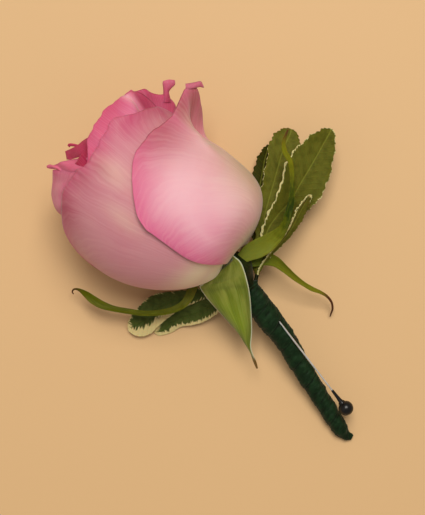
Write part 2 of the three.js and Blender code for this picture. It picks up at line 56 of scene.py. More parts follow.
# A dent below the curled tip and a swell at the lower left: height, turn, size and reach along both
BUD_SWELLS = [(31.5, 90, -1.8, 5, 15), (23, -78, 1.2, 13, 40)]
PETAL_THICKNESS = 0.36
EDGE_SHARE = 0.45
EDGE_REACH = 0.9
BOWL_SCALE = 25.0
FIRST_STEP = 0.12
ROOT_WIDTH = 0.82
ROOT_END = 0.45
FOOT_LIFT = 2.6
FOOT_TURN = 25.0
FOOT_REACH = 14.0
ROLL_START = 0.8
LIP_START = 0.93
LIP_DROP = 0.5
RIDGE_REACH = (2.6, 5.5)
FRAY_WAVES = [(0.21, 0.0, 1.0), (0.37, 1.0, 1.0), (0.83, 0.0, 0.6)]
SPOT_MASKS = ("flush_and_shade", "pale", "painted_shade")
SHEET_GRID = (14, 30)
SHEET_BOW = 0.5
SHEET_FLATTENS = 0.4
SHEET_CALM_END = 0.25
MARGIN_CHUNK = 64

AXIS = np.array([
    -math.sin(BLOOM_YAW) * math.cos(BLOOM_PITCH),
    math.cos(BLOOM_YAW) * math.cos(BLOOM_PITCH),
    math.sin(BLOOM_PITCH),
])
TOP = np.array([0.0, 0.0, 1.0]) - AXIS[2] * AXIS
TOP /= np.linalg.norm(TOP)
RIGHT = np.cross(AXIS, TOP)


def ease(x):
    x = np.clip(x, 0, 1)
    return x * x * (3 - 2 * x)


def late(v, start):
    """0 up to start, then a soft rise to 1 at the end."""
    return ease((v - start) / (1 - start))


def unit_grid(columns, rows):
    return np.meshgrid(np.linspace(0, 1, columns + 1), np.linspace(0, 1, rows + 1), indexing="ij")


def hill(height, turn, at_height, at_turn, reach_height, reach_turn):
    """A soft hill of 1 at one height and turn of the bloom, with its reach along both."""
    return np.exp(-((height - at_height) / reach_height) ** 2 - ((turn - at_turn) / reach_turn) ** 2)


def through(stations, t):
    """A smooth value through a list of stations, for each t from 0 to 1."""
    points = np.asarray(stations, float)
    t = np.asarray(t, float)
    last = len(points) - 1
    k = np.clip(np.floor(t * last).astype(int), 0, last - 1)
    f = (t * last - k).reshape(t.shape + (1,) * (points.ndim - 1))
    p0, p1 = points[np.maximum(k - 1, 0)], points[k]
    p2, p3 = points[k + 1], points[np.minimum(k + 2, last)]
    bend = 2 * p0 - 5 * p1 + 4 * p2 - p3 + f * (3 * p1 - p0 - 3 * p2 + p3)
    return p1 + 0.5 * f * (p2 - p0 + f * bend)


def bloom_point(along, turn, radius):
    """A place in the bloom's own frame. Turns count in degrees from the top, positive to the right."""
    turn = np.radians(turn)
    return (BLOOM_BASE + along[..., None] * AXIS
            + (radius * np.cos(turn))[..., None] * TOP
            + (radius * np.sin(turn))[..., None] * RIGHT)


def side_outline(side, along):
    bowl = np.clip((side["girth"] - along) / side["girth"], 0, 1) ** side["bluntness"]
    rise = side["radius"] * (1 - bowl) ** (1 / side["bluntness"])
    beyond = np.clip((along - side["girth"]) / (BLOOM_LENGTH - side["girth"]), 0, None)
    return rise - side["radius"] * side["fall"] * beyond ** 2


def bud_radius(along, turn):
    share = (1 + np.sin(np.radians(turn))) / 2
    radius = (1 - share) * side_outline(LEFT_SIDE, along) + share * side_outline(RIGHT_SIDE, along)
    for at_height, at_turn, size, *reach in BUD_SWELLS:
        radius = radius + size * hill(along, turn, at_height, at_turn, *reach)
    return radius


def height_of(step):
    bowl = 1 - np.cos(np.minimum(step, math.pi / 2))
    return BOWL_SCALE * (bowl + np.maximum(step - math.pi / 2, 0))


def step_of(height):
    bowl = np.arccos(np.clip(1 - height / BOWL_SCALE, 0, 1))
    return np.where(height < BOWL_SCALE, bowl, math.pi / 2 + height / BOWL_SCALE - 1)


def foot_lift(height, turn):
    """How far the foot of the petals sits up the bloom on its upper side, above the sepals."""
    facing = np.clip(np.cos(np.radians(turn - FOOT_TURN)), 0, 1) ** 1.5
    return FOOT_LIFT * facing * (1 - ease(height / FOOT_REACH))


def spots(listed, height, turn):
    """A mask with soft spots, each a height, a turn, a reach along both and a strength."""
    mask = 0 * height
    for *place_and_reach, strength in listed:
        mask = np.maximum(mask, strength * hill(height, turn, *place_and_reach))
    return mask


def petal_grid(petal, columns, rows):
    """The middle face of a wide petal as a grid of places, with its u and v and its colour masks."""
    u, v = unit_grid(columns, rows)
    edge = through(petal["rim"], u)
    edge_turn, edge_height, open_out = edge[..., 0], edge[..., 1], edge[..., 2]
    first, last = petal["rim"][0][0], petal["rim"][-1][0]
    middle = (first + last) / 2
    fray = sum(size * np.sin(pace * edge_turn + phase) for pace, phase, size in FRAY_WAVES)
    edge_height = edge_height + petal["fray"] * fray
    root_end = petal.get("root_end", ROOT_END)
    turn = middle + (edge_turn - middle) * (ROOT_WIDTH + (1 - ROOT_WIDTH) * ease(v / root_end))
    level = petal["depth"][0] + (petal["depth"][1] - petal["depth"][0]) * u
    shrink = 1 - level / BLOOM_LENGTH
    last_step = step_of((edge_height - level) / shrink)
    height = height_of(FIRST_STEP + (last_step - FIRST_STEP) * v)
    radius = bud_radius(height, turn) * (1 - level / BLOOM_RADIUS)
    radius = radius + petal["roll"] * late(v, ROLL_START) + open_out * late(v, petal["open_from"])
    for ridge_height, ridge_turn, ridge_size in petal.get("ridge", []):
        radius = radius + ridge_size * hill(height, turn, ridge_height, ridge_turn, *RIDGE_REACH)
    for ruffle in petal.get("ruffles", []):
        beside = edge_turn - ruffle["turn"]
        near = np.exp(-(beside / ruffle["spread"]) ** 2)
        wave = np.sin(2 * math.pi * beside / ruffle["pitch"])
        radius = radius + ruffle["mm"] * near * wave * late(v, ruffle["from"])
    lip = np.clip((v - LIP_START) / (1 - LIP_START), 0, 1) ** 2 * petal["lip"]
    along = level + height * shrink - LIP_DROP * lip + foot_lift(height, turn)
    masks = {key: spots(petal.get(key, []), height, turn) for key in SPOT_MASKS}
    return {"points": bloom_point(along, turn, radius + lip), "u": u, "v": v, "rise": v, **masks}


def sheet_grid(sheet):
    """A petal's rolled edge or tip through lines given along the bloom, to its top and to its right."""
    u, v = unit_grid(*sheet.get("grid", SHEET_GRID))
    lines = np.stack([through(line, v[0]) for line in sheet["lines"]])
    place = through(lines, u[:, 0])
    place[..., 1] += sheet.get("bow", SHEET_BOW) * (1 - (2 * u - 1) ** 2) * (1 - SHEET_FLATTENS * v)
    for size, waves, slant in sheet.get("waves", []):
        calm = ease((1 - v) / SHEET_CALM_END)
        place[..., 1] += size * np.sin(2 * math.pi * (waves * v + slant * u)) * calm
    points = BLOOM_BASE + place[..., :1] * AXIS + place[..., 1:2] * TOP + place[..., 2:] * RIGHT
    masks = {key: np.interp(v, (0, 1), np.broadcast_to(sheet.get(key, 0.0), 2)) for key in SPOT_MASKS}
    return {"points": points, "u": u, "v": v, "rise": 1 + 0 * u, **masks}


def rim_distance(points):
    """The distance in mm from each place of a grid to its nearest margin, the root left out."""
    margin = np.concatenate([points[0], points[-1], points[:, -1]])
    flat = points.reshape(-1, 3)
    least = np.full(len(flat), np.inf)
    for start in range(0, len(margin), MARGIN_CHUNK):
        gap = np.linalg.norm(flat[:, None] - margin[None, start:start + MARGIN_CHUNK], axis=2)
        least = np.minimum(least, gap.min(axis=1))
    return least.reshape(points.shape[:2])


def blade_mesh(name, grids, thickness, masks):
    """A mesh of closed blades about grids of places in mm, thinner at their margins, with a UV map."""
    coords, faces, uvs, values = [], [], [], {key: [] for key in ("margin", "inside", *masks)}
    offset = 0
    for grid in grids:
        points, u, v = grid["points"], grid["u"], grid["v"]
        normal = np.cross(np.gradient(points, axis=0), np.gradient(points, axis=1))
        normal /= np.maximum(np.linalg.norm(normal, axis=2, keepdims=True), 1e-9)
        margin = rim_distance(points)
        half = thickness / 2 * (EDGE_SHARE + (1 - EDGE_SHARE) * ease(margin / EDGE_REACH))[..., None]
        outer, inner = points + normal * half, points - normal * half
        lower = outer[..., 2] < inner[..., 2]
        for face, is_lower in ((outer, lower), (inner, ~lower)):
            floor = np.where(is_lower, 0.0, thickness)
            face[..., 2] = np.maximum(face[..., 2], floor)
        columns, rows = points.shape[0] - 1, points.shape[1] - 1
        count = (columns + 1) * (rows + 1)
        index = np.arange(count).reshape(columns + 1, rows + 1) + offset
        a, b, c, d = index[:-1, :-1], index[1:, :-1], index[1:, 1:], index[:-1, 1:]
        faces.append(np.stack([a, b, c, d], -1).reshape(-1, 4))
        faces.append(np.stack([d, c, b, a], -1).reshape(-1, 4) + count)
        ring = np.concatenate([index[:-1, 0], index[-1, :-1], index[:0:-1, -1], index[0, :0:-1]])
        after = np.roll(ring, -1)
        faces.append(np.stack([ring, ring + count, after + count, after], -1))
        coords += [outer.reshape(-1, 3), inner.reshape(-1, 3)]
        uvs += [np.stack([u, v], -1).reshape(-1, 2)] * 2
        values["margin"] += [margin.ravel()] * 2
        values["inside"] += [np.zeros(count), np.ones(count)]
        for mask in masks:
            values[mask] += [np.broadcast_to(grid[mask], u.shape).ravel()] * 2
        offset += 2 * count
    return finish_mesh(name, np.concatenate(coords), np.concatenate(faces).tolist(), np.concatenate(uvs),
                       values)


def new_object(name, data):
    thing = bpy.data.objects.new(name, data)
    bpy.context.scene.collection.objects.link(thing)
    return thing


def finish_mesh(name, coords, faces, uvs, values):
    """An object from places in mm in the boutonniere's own frame, with smooth faces."""
    mesh = bpy.data.meshes.new(name)
    mesh.from_pydata(((coords - MIDDLE) * MM).tolist(), [], faces)
    mesh.validate()
    layer = mesh.uv_layers.new(name="UVMap")
    loops = np.zeros(len(mesh.loops), int)
    mesh.loops.foreach_get("vertex_index", loops)
    layer.data.foreach_set("uv", uvs[loops].astype(np.float32).ravel())
    for key, parts in values.items():
        kept = mesh.attributes.new(key, "FLOAT", "POINT")
        kept.data.foreach_set("value", np.concatenate(parts).astype(np.float32))
    mesh.polygons.foreach_set("use_smooth", [True] * len(mesh.polygons))
    return new_object(name, mesh)


def attach(piece, material, slot, *nodes):
    """The piece gets its material, moves with the whole part and stands for its CAD nodes."""
    piece.data.materials.clear()
    piece.data.materials.append(material)
    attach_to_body(piece, "root")
    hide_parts(*nodes)


def colour(red, green, blue):
    """A display colour from 0 to 255 as the linear colour that a shader takes."""
    parts = [value / 255 for value in (red, green, blue)]
    return [p / 12.92 if p <= 0.04045 else ((p + 0.055) / 1.055) ** 2.4 for p in parts] + [1.0]


def add(tree, kind, inputs=(), **settings):
    """A shader or geometry node with its settings, inputs and links."""
    made = tree.nodes.new(kind)
    for key, value in settings.items():
        setattr(made, key, value)
    for key, value in dict(inputs).items():
        if isinstance(value, bpy.types.NodeSocket):
            tree.links.new(value, made.inputs[key])
        else:
            made.inputs[key].default_value = value
    return made


def maths(tree, operation, *values):
    made = add(tree, "ShaderNodeMath", dict(enumerate(values)), operation=operation)
    return made.outputs[0]


def ramp(tree, value, low, high, first=0.0, last=1.0):
    """A soft step of a value from one limit to the other."""
    made = add(tree, "ShaderNodeMapRange", {0: value, 1: low, 2: high, 3: first, 4: last},
               interpolation_type="SMOOTHSTEP")
    return made.outputs[0]


def blend(tree, share, under, over, mode="MIX"):
    made = add(tree, "ShaderNodeMix", {0: share, 6: under, 7: over}, data_type="RGBA", blend_type=mode)
    return made.outputs[2]


def attribute(tree, name):
    return add(tree, "ShaderNodeAttribute", attribute_name=name).outputs["Fac"]


def swing(tree, value, size):
    """A value of 0 to 1 as a push to either side of nothing."""
    return maths(tree, "MULTIPLY", maths(tree, "SUBTRACT", value, 0.5), size)


def noise(tree, place, scale=1.0, detail=4.0):
    return add(tree, "ShaderNodeTexNoise", {"Vector": place, "Scale": scale, "Detail": detail}).outputs[0]


def vector(tree, *parts):
    return add(tree, "ShaderNodeCombineXYZ", dict(enumerate(parts))).outputs[0]


def paint(tree, shader, base, height=None, depth=0.1, strength=0.4):
    """Gives the shader its colour and, where a height is given, a fine relief of some depth in mm."""
    tree.links.new(base, shader.inputs["Base Color"])
    if height is not None:
        bump = add(tree, "ShaderNodeBump", {"Height": height, "Distance": depth * MM, "Strength": strength})
        tree.links.new(bump.outputs[0], shader.inputs["Normal"])


def new_group(name, inputs, outputs, kind="Shader"):
    """A node group. Each input is given by its first value or its kind, and each output by its kind."""
    group = bpy.data.node_groups.new(name, kind + "NodeTree")
    for key, first in inputs.items():
        word = first if isinstance(first, str) else "Int" if isinstance(first, int) else "Float"
        socket = group.interface.new_socket(name=key, in_out="INPUT", socket_type="NodeSocket" + word)
        if word != first:
            socket.default_value = first
    for key, word in outputs.items():
        group.interface.new_socket(name=key, in_out="OUTPUT", socket_type="NodeSocket" + word)
    return group, group.nodes.new("NodeGroupInput").outputs, group.nodes.new("NodeGroupOutput").inputs


def new_material(name, **constants):
    """A material with a Principled shader, and the tree to build its pattern in."""
    material = bpy.data.materials.new(name)
    material.use_nodes = True
    tree = material.node_tree
    shader = tree.nodes["Principled BSDF"]
    for key, value in constants.items():
        shader.inputs[key.replace("_", " ")].default_value = value
    return material, tree, shader


def vein_group():
    """Fine lines that run from the root of a petal or leaf to its rim, by its UV map."""
    group, given, sink = new_group(
        "fine_veins", {"Count": 90.0, "Length": 3.0, "Waver": 0.02, "Fan": 0.0},
        {"Lines": "Float", "Clouds": "Float"})
    uv = add(group, "ShaderNodeTexCoord").outputs["UV"]
    parts = add(group, "ShaderNodeSeparateXYZ", {0: uv}).outputs
    wide = vector(group, maths(group, "MULTIPLY", parts[0], 5.0), maths(group, "MULTIPLY", parts[1], 3.5))
    clouds = noise(group, wide)
    waver = swing(group, clouds, given["Waver"])
    narrowed = maths(group, "SUBTRACT", 1.0, maths(group, "MULTIPLY", parts[1], given["Fan"]))
    side = maths(group, "MULTIPLY", maths(group, "SUBTRACT", parts[0], 0.5), narrowed)
    across = maths(group, "MULTIPLY", maths(group, "ADD", side, waver), given["Count"])
    along = maths(group, "MULTIPLY", parts[1], given["Length"])
    lines = noise(group, vector(group, across, along), detail=5.0)
    group.links.new(lines, sink["Lines"])
    group.links.new(clouds, sink["Clouds"])
    return group


FINE_VEINS = vein_group()


def veins(tree, count, length, waver=0.02, fan=0.0):
    made = add(tree, "ShaderNodeGroup", {"Count": count, "Length": length, "Waver": waver, "Fan": fan},
               node_tree=FINE_VEINS)
    return made.outputs["Lines"], made.outputs["Clouds"]


# Reach is how far the rim's colour runs in from the margin, in mm, and claw_end the share that is pale
PETAL_LOOKS = {
    # The front petal's cream claw is darkened: painted shade on its right side and foot, which turn away from
    # the light
    "front": {"fan": 0.62, "reach": 12.0, "claw_end": 0.42, "claw": colour(192, 172, 132),
              "body": colour(250, 190, 202), "rim": colour(216, 74, 134),
              "inside": colour(184, 80, 104), "painted_shade": colour(160, 82, 84)},
    # The left and upper petals take darker, dustier pinks than the front one: partly their own tone and
    # partly painted shade, as they face away from the light
    "left": {"fan": 0.62, "reach": 7.0, "claw_end": 0.5, "claw": colour(252, 232, 194),
             "body": colour(210, 142, 152), "rim": colour(196, 70, 116),
             "inside": colour(214, 100, 132), "painted_shade": colour(164, 66, 88)},
    "upper": {"fan": 0.25, "reach": 7.0, "claw_end": 0.3, "claw": colour(250, 176, 194),
              "body": colour(222, 120, 154), "rim": colour(198, 60, 106),
              "inside": colour(194, 62, 108), "painted_shade": colour(164, 40, 76)},
    # The inner petals' deep crimson is partly painted shade deep in the bud
    "inner": {"fan": 0.3, "reach": 5.0, "claw_end": 0.3, "claw": colour(214, 90, 124),
              "body": colour(200, 38, 92), "rim": colour(164, 20, 64),
              "inside": colour(184, 36, 84), "painted_shade": colour(120, 14, 44)},
}
PETAL_LOOKS["heart"] = {**PETAL_LOOKS["inner"], "claw": colour(232, 214, 170), "claw_end": 0.36}


def petal_material(name, look):
    material, tree, shader = new_material(
        "petal_" + name, Roughness=0.62, Subsurface_Weight=0.25, Subsurface_Scale=0.0012,
        Sheen_Weight=0.2, Sheen_Roughness=0.4, Specular_IOR_Level=0.2)
    shader.inputs["Subsurface Radius"].default_value = (1.0, 0.45, 0.4)
    lines, clouds = veins(tree, 210.0, 4.0, 0.045, look["fan"])
    margin, rise = attribute(tree, "margin"), attribute(tree, "rise")
    noisy = maths(tree, "ADD", margin, swing(tree, lines, 0.7))
    noisy = maths(tree, "ADD", noisy, swing(tree, clouds, 7.0))
    # Deeper pink at the rims and in spots; some of the spots are painted shade in folds
    flush_and_shade = maths(tree, "MAXIMUM", ramp(tree, noisy, look["reach"], -2.0), attribute(tree, "flush_and_shade"))
    claw = ramp(tree, maths(tree, "ADD", rise, maths(tree, "MULTIPLY", clouds, 0.12)), look["claw_end"], 0.08)
    cream = maths(tree, "MAXIMUM", claw, attribute(tree, "pale"))
    base = blend(tree, ramp(tree, clouds, 0.4, 0.75, 0.0, 0.22), look["body"], look["rim"])
    base = blend(tree, maths(tree, "MULTIPLY", flush_and_shade, 0.85), base, look["rim"])
    base = blend(tree, cream, base, look["claw"])
    streaks = maths(tree, "MULTIPLY", ramp(tree, lines, 0.42, 0.72, 0.0, 0.24), cream)
    base = blend(tree, streaks, base, colour(252, 236, 206))
    # Painted shade: the petal darkens towards this colour where it turns away from the light, folds under its
    # neighbour or lies deep in the bud
    base = blend(tree, attribute(tree, "painted_shade"), base, look["painted_shade"])
    base = blend(tree, attribute(tree, "inside"), base, look["inside"])
    base = blend(tree, ramp(tree, lines, 0.36, 0.72, 0.0, 0.09), base, colour(255, 222, 216))
    # A thin dark red-brown line along the margins where the painted shade lies: painted shade at the rolled
    # edges
    dry = maths(tree, "MULTIPLY", ramp(tree, margin, 0.35, 0.08, 0.0, 0.8), attribute(tree, "painted_shade"))
    base = blend(tree, dry, base, colour(104, 34, 36))
    paint(tree, shader, base, lines, depth=0.1, strength=0.35)
    return material


# Each rim runs from the left margin to the right one, as turn, height and how far it opens outwards
# Spots of painted shade darken a petal where it turns away from the light or folds under its neighbour
OUTER_PETALS = {
    "petal_front": {
        "look": "front", "depth": (0, 0), "roll": 0.4, "open_from": 0.84, "lip": 0.5, "fray": 0.08,
        "root_end": 0.7,
        "rim": [(-17, 27, 0), (-14, 31, 0), (-7, 35, 0), (3, 38.6, 0), (13, 41.2, 0), (24, 41.8, 0),
                (36, 41.5, 0), (48, 40.5, 0.1), (56, 39.9, 0.5), (60, 39.8, 1.1), (64, 40, 2),
                (67, 40.2, 3), (70, 40.4, 4), (73, 40.9, 5.1), (76, 41.2, 6.1), (79, 40.7, 7),
                (81.5, 39.2, 7.7), (83.5, 37.4, 7.3), (85, 36.2, 6.8), (86.5, 35.2, 6.3), (88, 34.3, 5.9),
                (89.5, 33.4, 4.9), (91, 32.4, 2.2), (93, 31.8, 0.8), (98, 31.2, 0.3), (108, 30.4, 0.1),
                (120, 29, 0), (131, 26.5, 0), (140, 23, 0), (146, 17, 0)],
        "ridge": [(38.5, 80, 0.5), (36.5, 74, 0.7), (34, 69, 0.8), (31, 65, 0.7), (28, 61, 0.45),
                  (24.5, 59, 0.25)],
        "ruffles": [{"turn": -8, "spread": 16, "pitch": 9, "mm": 0.06, "from": 0.86}],
        "pale": [(13, 86, 14, 40, 1.0), (25, 72, 9, 14, 0.7), (33, 67, 6, 5, 0.5), (9, 56, 6, 14, 0.5)],
        # The deep pink spot at turn 85 is partly painted shade on the flap that turns away to the right
        "flush_and_shade": [(22, -6, 10, 14, 0.35), (13, 10, 7, 14, 0.4), (34.5, 85, 3.5, 5, 0.7)],
        "painted_shade": [(40, 40, 9, 26, 0.6), (40, 68, 6, 10, 0.7), (37, 80, 5, 6, 0.9), (34.5, 86, 4, 7, 0.75),
                 (6, 95, 12, 30, 0.4), (7, 22, 5, 22, 0.35)],
    },
    "petal_left": {
        "look": "left", "depth": (1.1, 1.1), "roll": 0.5, "open_from": 0.8, "lip": 0.35, "fray": 0.1,
        "rim": [(-99, 24, 0), (-94, 33, 0), (-80, 41, 0), (-64, 45.2, 0), (-52, 47.8, 0), (-42, 49.1, 0),
                (-35, 49.2, 0), (-28, 49.3, 0), (-22, 49.7, 0), (-16, 48.8, 0), (-10, 48.9, 0),
                (-4, 49.4, 0), (2, 49.3, 0), (6, 49.6, 0), (9, 50.1, 0), (15, 50.2, 0),
                (20, 50.3, 0), (24, 51, 0), (30, 50.9, 0), (36, 49.3, 0), (44, 47.6, 0), (52, 46.3, 0.1),
                (58, 45.4, 0.2), (66, 43.9, 0.2), (74, 42.4, 0), (80, 40, 0), (85, 35, 0)],
        "ruffles": [{"turn": -22, "spread": 10, "pitch": 9, "mm": 0.2, "from": 0.93},
                    {"turn": 14, "spread": 14, "pitch": 12, "mm": 0.2, "from": 0.92}],
        "pale": [(42, -4, 6, 8, 0.22), (32, -23, 6, 7, 0.2), (6, -30, 5, 40, 0.8)],
        "flush_and_shade": [(45.5, -56, 5, 16, 0.75), (47, 42, 4, 26, 1.0), (42.5, 66, 4, 9, 1.0)],
        "painted_shade": [(46, -60, 6, 14, 0.7), (47, -24, 4, 10, 0.35), (45, -8, 4, 5, 0.35), (45, 58, 4, 16, 0.4)],
    },
    "petal_under": {
        "look": "left", "depth": (1.1, 2.3), "roll": 1.0, "open_from": 0.8, "lip": 0.5, "fray": 0.15,
        "rim": [(118, 20, 0), (124, 30, 0), (138, 38, 0), (160, 44, 0), (188, 47.5, 0), (214, 48.5, -0.5),
                (236, 50, -1.6), (248, 51.2, -2.4), (258, 50.6, -2.8), (266, 48.6, -2.8), (274, 46, -2.4),
                (282, 42, -1.4), (288, 36, -0.6)],
        "ruffles": [{"turn": 200, "spread": 50, "pitch": 24, "mm": 0.5, "from": 0.82}],
    },
    "petal_upper_left": {
        "look": "upper", "depth": (3.4, 3.4), "roll": 1.0, "open_from": 0.85, "lip": 0.6, "fray": 0.1,
        "rim": [(-28, 38, 0), (-20, 44.5, 0), (-13, 48.6, 0), (-7, 50.2, 0), (-1, 51.6, 0), (5, 52.7, 0),
                (11, 53.1, 0), (18, 53.6, 0), (26, 53.8, 0), (34, 53.9, 0), (40, 53.6, 0.3), (46, 53.3, 0.4),
                (52, 52.9, 0.6), (58, 52.3, 1.0), (63, 51.5, 1.5), (66.5, 50.6, 2.0), (68, 49.6, 2.2),
                (69, 48.2, 2.2), (69.8, 46, 1.8), (70.5, 42, 0.8)],
        "ridge": [(50.2, 58, 0.4), (49, 54, 0.7), (47.6, 50, 0.8), (46, 46, 0.6)],
        "ruffles": [{"turn": 8, "spread": 26, "pitch": 21, "mm": 0.3, "from": 0.8},
                    {"turn": 60, "spread": 6, "pitch": 13, "mm": 0.4, "from": 0.8}],
        # The pale spot on the crest of the fold is a painted highlight
        "pale": [(50.4, 57, 4, 4, 0.75)],
        # The deep pink spot at turn 66, with the darkening spot next to it, is painted shade in the fold of
        # this petal's right part
        "flush_and_shade": [(48, 66, 6, 5, 1.0)],
        "painted_shade": [(46, 68, 6, 5, 0.8)],
    },
    "petal_upper_right": {
        "look": "upper", "depth": (4.6, 4.6), "roll": 0.6, "open_from": 0.85, "lip": 0.3, "fray": 0.06,
        "rim": [(14, 42, 0), (30, 48, 0), (46, 51.5, 0.8), (58, 52.2, 2.2), (64, 51.8, 3.0), (68, 51.2, 3.5),
                (71, 49.8, 3.9), (74, 48.4, 4.6), (76, 46.8, 5), (78, 45.2, 5.3), (79.5, 44.1, 5.9),
                (81, 42.8, 5.9), (82.5, 41.6, 5.8), (84, 40.7, 5.6), (86, 40, 5.2), (89, 39.6, 4.3),
                (94, 39.4, 3), (100, 40, 1.6), (108, 42, 0.8), (120, 45, 0.2), (146, 40, 0)],
        "ruffles": [{"turn": 71, "spread": 6, "pitch": 7.5, "mm": 0.6, "from": 0.8}],
        "painted_shade": [(46, 72, 6, 8, 0.5), (42, 81, 5, 5, 0.35)],
    },
    "petal_deep_left": {
        "look": "inner", "depth": (4.2, 5.6), "roll": 1.0, "open_from": 0.8, "lip": 0.4, "fray": 0.1,
        "rim": [(150, 36, 0), (164, 44, 0), (186, 47, 0), (210, 47.5, 0), (234, 47.5, -0.8), (256, 47, -1.6),
                (274, 46, -1), (290, 44, 0), (300, 40, 0)],
    },
    "petal_mouth": {
        "look": "inner", "depth": (6.4, 6.4), "roll": 0.3, "open_from": 0.75, "lip": 0.3, "fray": 0.08,
        "rim": [(-96, 42, -0.5), (-84, 46, -1.6), (-74, 48, -2), (-62, 49.4, -2), (-50, 50, -2),
                (-38, 50.3, -1.6), (-26, 50.6, -1), (-12, 51, -0.6), (0, 51.2, 0), (8, 51, 0.6),
                (18, 49.6, 0.6), (30, 46, 0)],
    },
}
# Rolled edges and curled tips. Each line goes along the bloom, towards its top and to its right
PETAL_SHEETS = {
    # A sheet's darkening is painted shade where it rolls away from the light
    "petal_front": [
        {"lines": [[(41.5, 5.2, 28.5), (40.8, 5.3, 29.3), (39.8, 5.1, 30.5), (38.9, 4.8, 31.6),
                    (38.1, 4.5, 31.5), (37.2, 4.1, 31.1)],
                   [(40.5, 5.5, 27.3), (39.8, 5.7, 28.1), (39.1, 5.4, 29.0), (38.5, 5.1, 29.9),
                    (37.9, 4.6, 30.6), (37.2, 4.1, 30.9)]], "flush_and_shade": 0.2, "painted_shade": 0.5}],
    "petal_upper_right": [
        {"lines": [[(43.3, 3.5, 20.4), (43.9, 3.7, 22.4), (44.4, 3.9, 23.3), (45.3, 4.1, 24.2),
                    (46.0, 4.3, 24.8), (46.3, 4.4, 25.4)],
                   [(42.3, 3.9, 21.4), (43.3, 4.0, 23.0), (44.0, 4.1, 23.8), (44.6, 4.4, 24.8),
                    (45.1, 4.6, 25.8), (45.5, 4.7, 26.6)],
                   [(41.0, 3.3, 22.6), (42.6, 3.8, 23.6), (43.4, 4.0, 24.3), (43.5, 4.2, 25.4),
                    (43.4, 4.2, 26.7), (44.2, 4.5, 27.5)]],
         "flush_and_shade": (1.0, 0.35), "pale": (0.0, 0.2), "painted_shade": (0.6, 0.1)}],
    "petal_side": [
        {"lines": [[(48.6, 13.2, -1.0), (50.4, 11.1, -3.8), (51.5, 9.5, -5.3), (52.4, 8.5, -6.6),
                    (53.3, 7.4, -7.8), (53.7, 6.7, -8.9), (54.2, 6.0, -9.8), (55.0, 5.3, -10.3),
                    (55.3, 4.8, -11.1)],
                   [(47.4, 13.0, -3.4), (48.2, 11.2, -5.8), (48.9, 9.6, -7.9), (49.2, 7.9, -9.5),
                    (50.8, 6.8, -9.8), (51.9, 6.2, -9.8), (52.9, 5.8, -10.0), (53.9, 5.2, -10.8),
                    (54.9, 4.6, -11.3)]],
         "flush_and_shade": 0.5, "painted_shade": 0.35, "bow": 0.5, "waves": [(0.3, 2.3, 1.0)], "grid": (24, 60)},
        {"lines": [[(43.9, 2.6, -17.4), (46.4, 1.8, -16.9), (49.0, 1.4, -15.2), (50.9, 1.8, -12.8),
                    (52.9, 3.9, -10.9)],
                   [(43.7, 4.0, -18.3), (46.2, 3.5, -18.1), (49.2, 3.0, -16.1), (51.4, 3.3, -13.0),
                    (53.4, 5.0, -10.7)],
                   [(43.5, 6.2, -17.6), (45.6, 6.4, -16.9), (48.0, 6.6, -14.9), (49.8, 6.9, -12.1),
                    (52.0, 6.8, -9.4)],
                   [(43.1, 7.4, -16.0), (44.6, 7.8, -14.6), (46.5, 8.5, -12.2), (47.6, 10.2, -9.3),
                    (49.1, 10.4, -7.2)]],
         "flush_and_shade": 0.15, "bow": 0.0, "waves": [(0.2, 3.1, 0.5)], "grid": (30, 60)}],
    "petal_crimson": [
        {"lines": [[(51.3, 14.8, 2.5), (52.2, 13.6, 1.7), (52.7, 11.5, 0.0), (52.9, 9.5, -1.7),
                    (53.6, 6.8, -3.8), (54.1, 5.2, -5.0)],
                   [(49.8, 13.8, 0.6), (50.8, 12.8, -0.5), (51.5, 11.0, -2.0), (52, 9, -3.4),
                    (52.7, 6.8, -5.0), (53.2, 5.4, -5.7)],
                   [(48.3, 13.0, -1.4), (49.6, 11.6, -2.3), (50.4, 10.0, -3.5), (51.2, 8.2, -4.8),
                    (51.9, 6.4, -5.9), (52.4, 5.0, -6.4)]],
         "flush_and_shade": 0.1, "bow": -0.5, "waves": [(0.3, 1.7, 0.7)], "grid": (24, 50)},
        {"lines": [[(52.6, 9.0, -1.5), (53.9, 7.8, -2.2), (54.7, 7.1, -2.9), (54.6, 6.6, -3.5)],
                   [(52.4, 8.7, -1.8), (53.5, 7.5, -2.7), (54.0, 7.0, -3.1), (54.0, 6.7, -3.5)]],
         "flush_and_shade": 0.3, "bow": 0.25}],
}
SHEET_LOOKS = {"petal_side": "left", "petal_crimson": "inner"}
PETAL_MASKS = ("rise", *SPOT_MASKS)
PETAL_COLUMNS = 150
PETAL_ROWS = 90

petal_looks = {name: petal_material(name, look) for name, look in PETAL_LOOKS.items()}


def petal_piece(name, grids, look):
    piece = blade_mesh(name, grids, PETAL_THICKNESS, PETAL_MASKS)
    attach(piece, petal_looks[look], "petals", "rose_petals")


for name, petal in OUTER_PETALS.items():
    sheets = [sheet_grid(sheet) for sheet in PETAL_SHEETS.get(name, [])]
    petal_piece(name, [petal_grid(petal, PETAL_COLUMNS, PETAL_ROWS)] + sheets, petal["look"])
for name, look in SHEET_LOOKS.items():
    petal_piece(name, [sheet_grid(sheet) for sheet in PETAL_SHEETS[name]], look)


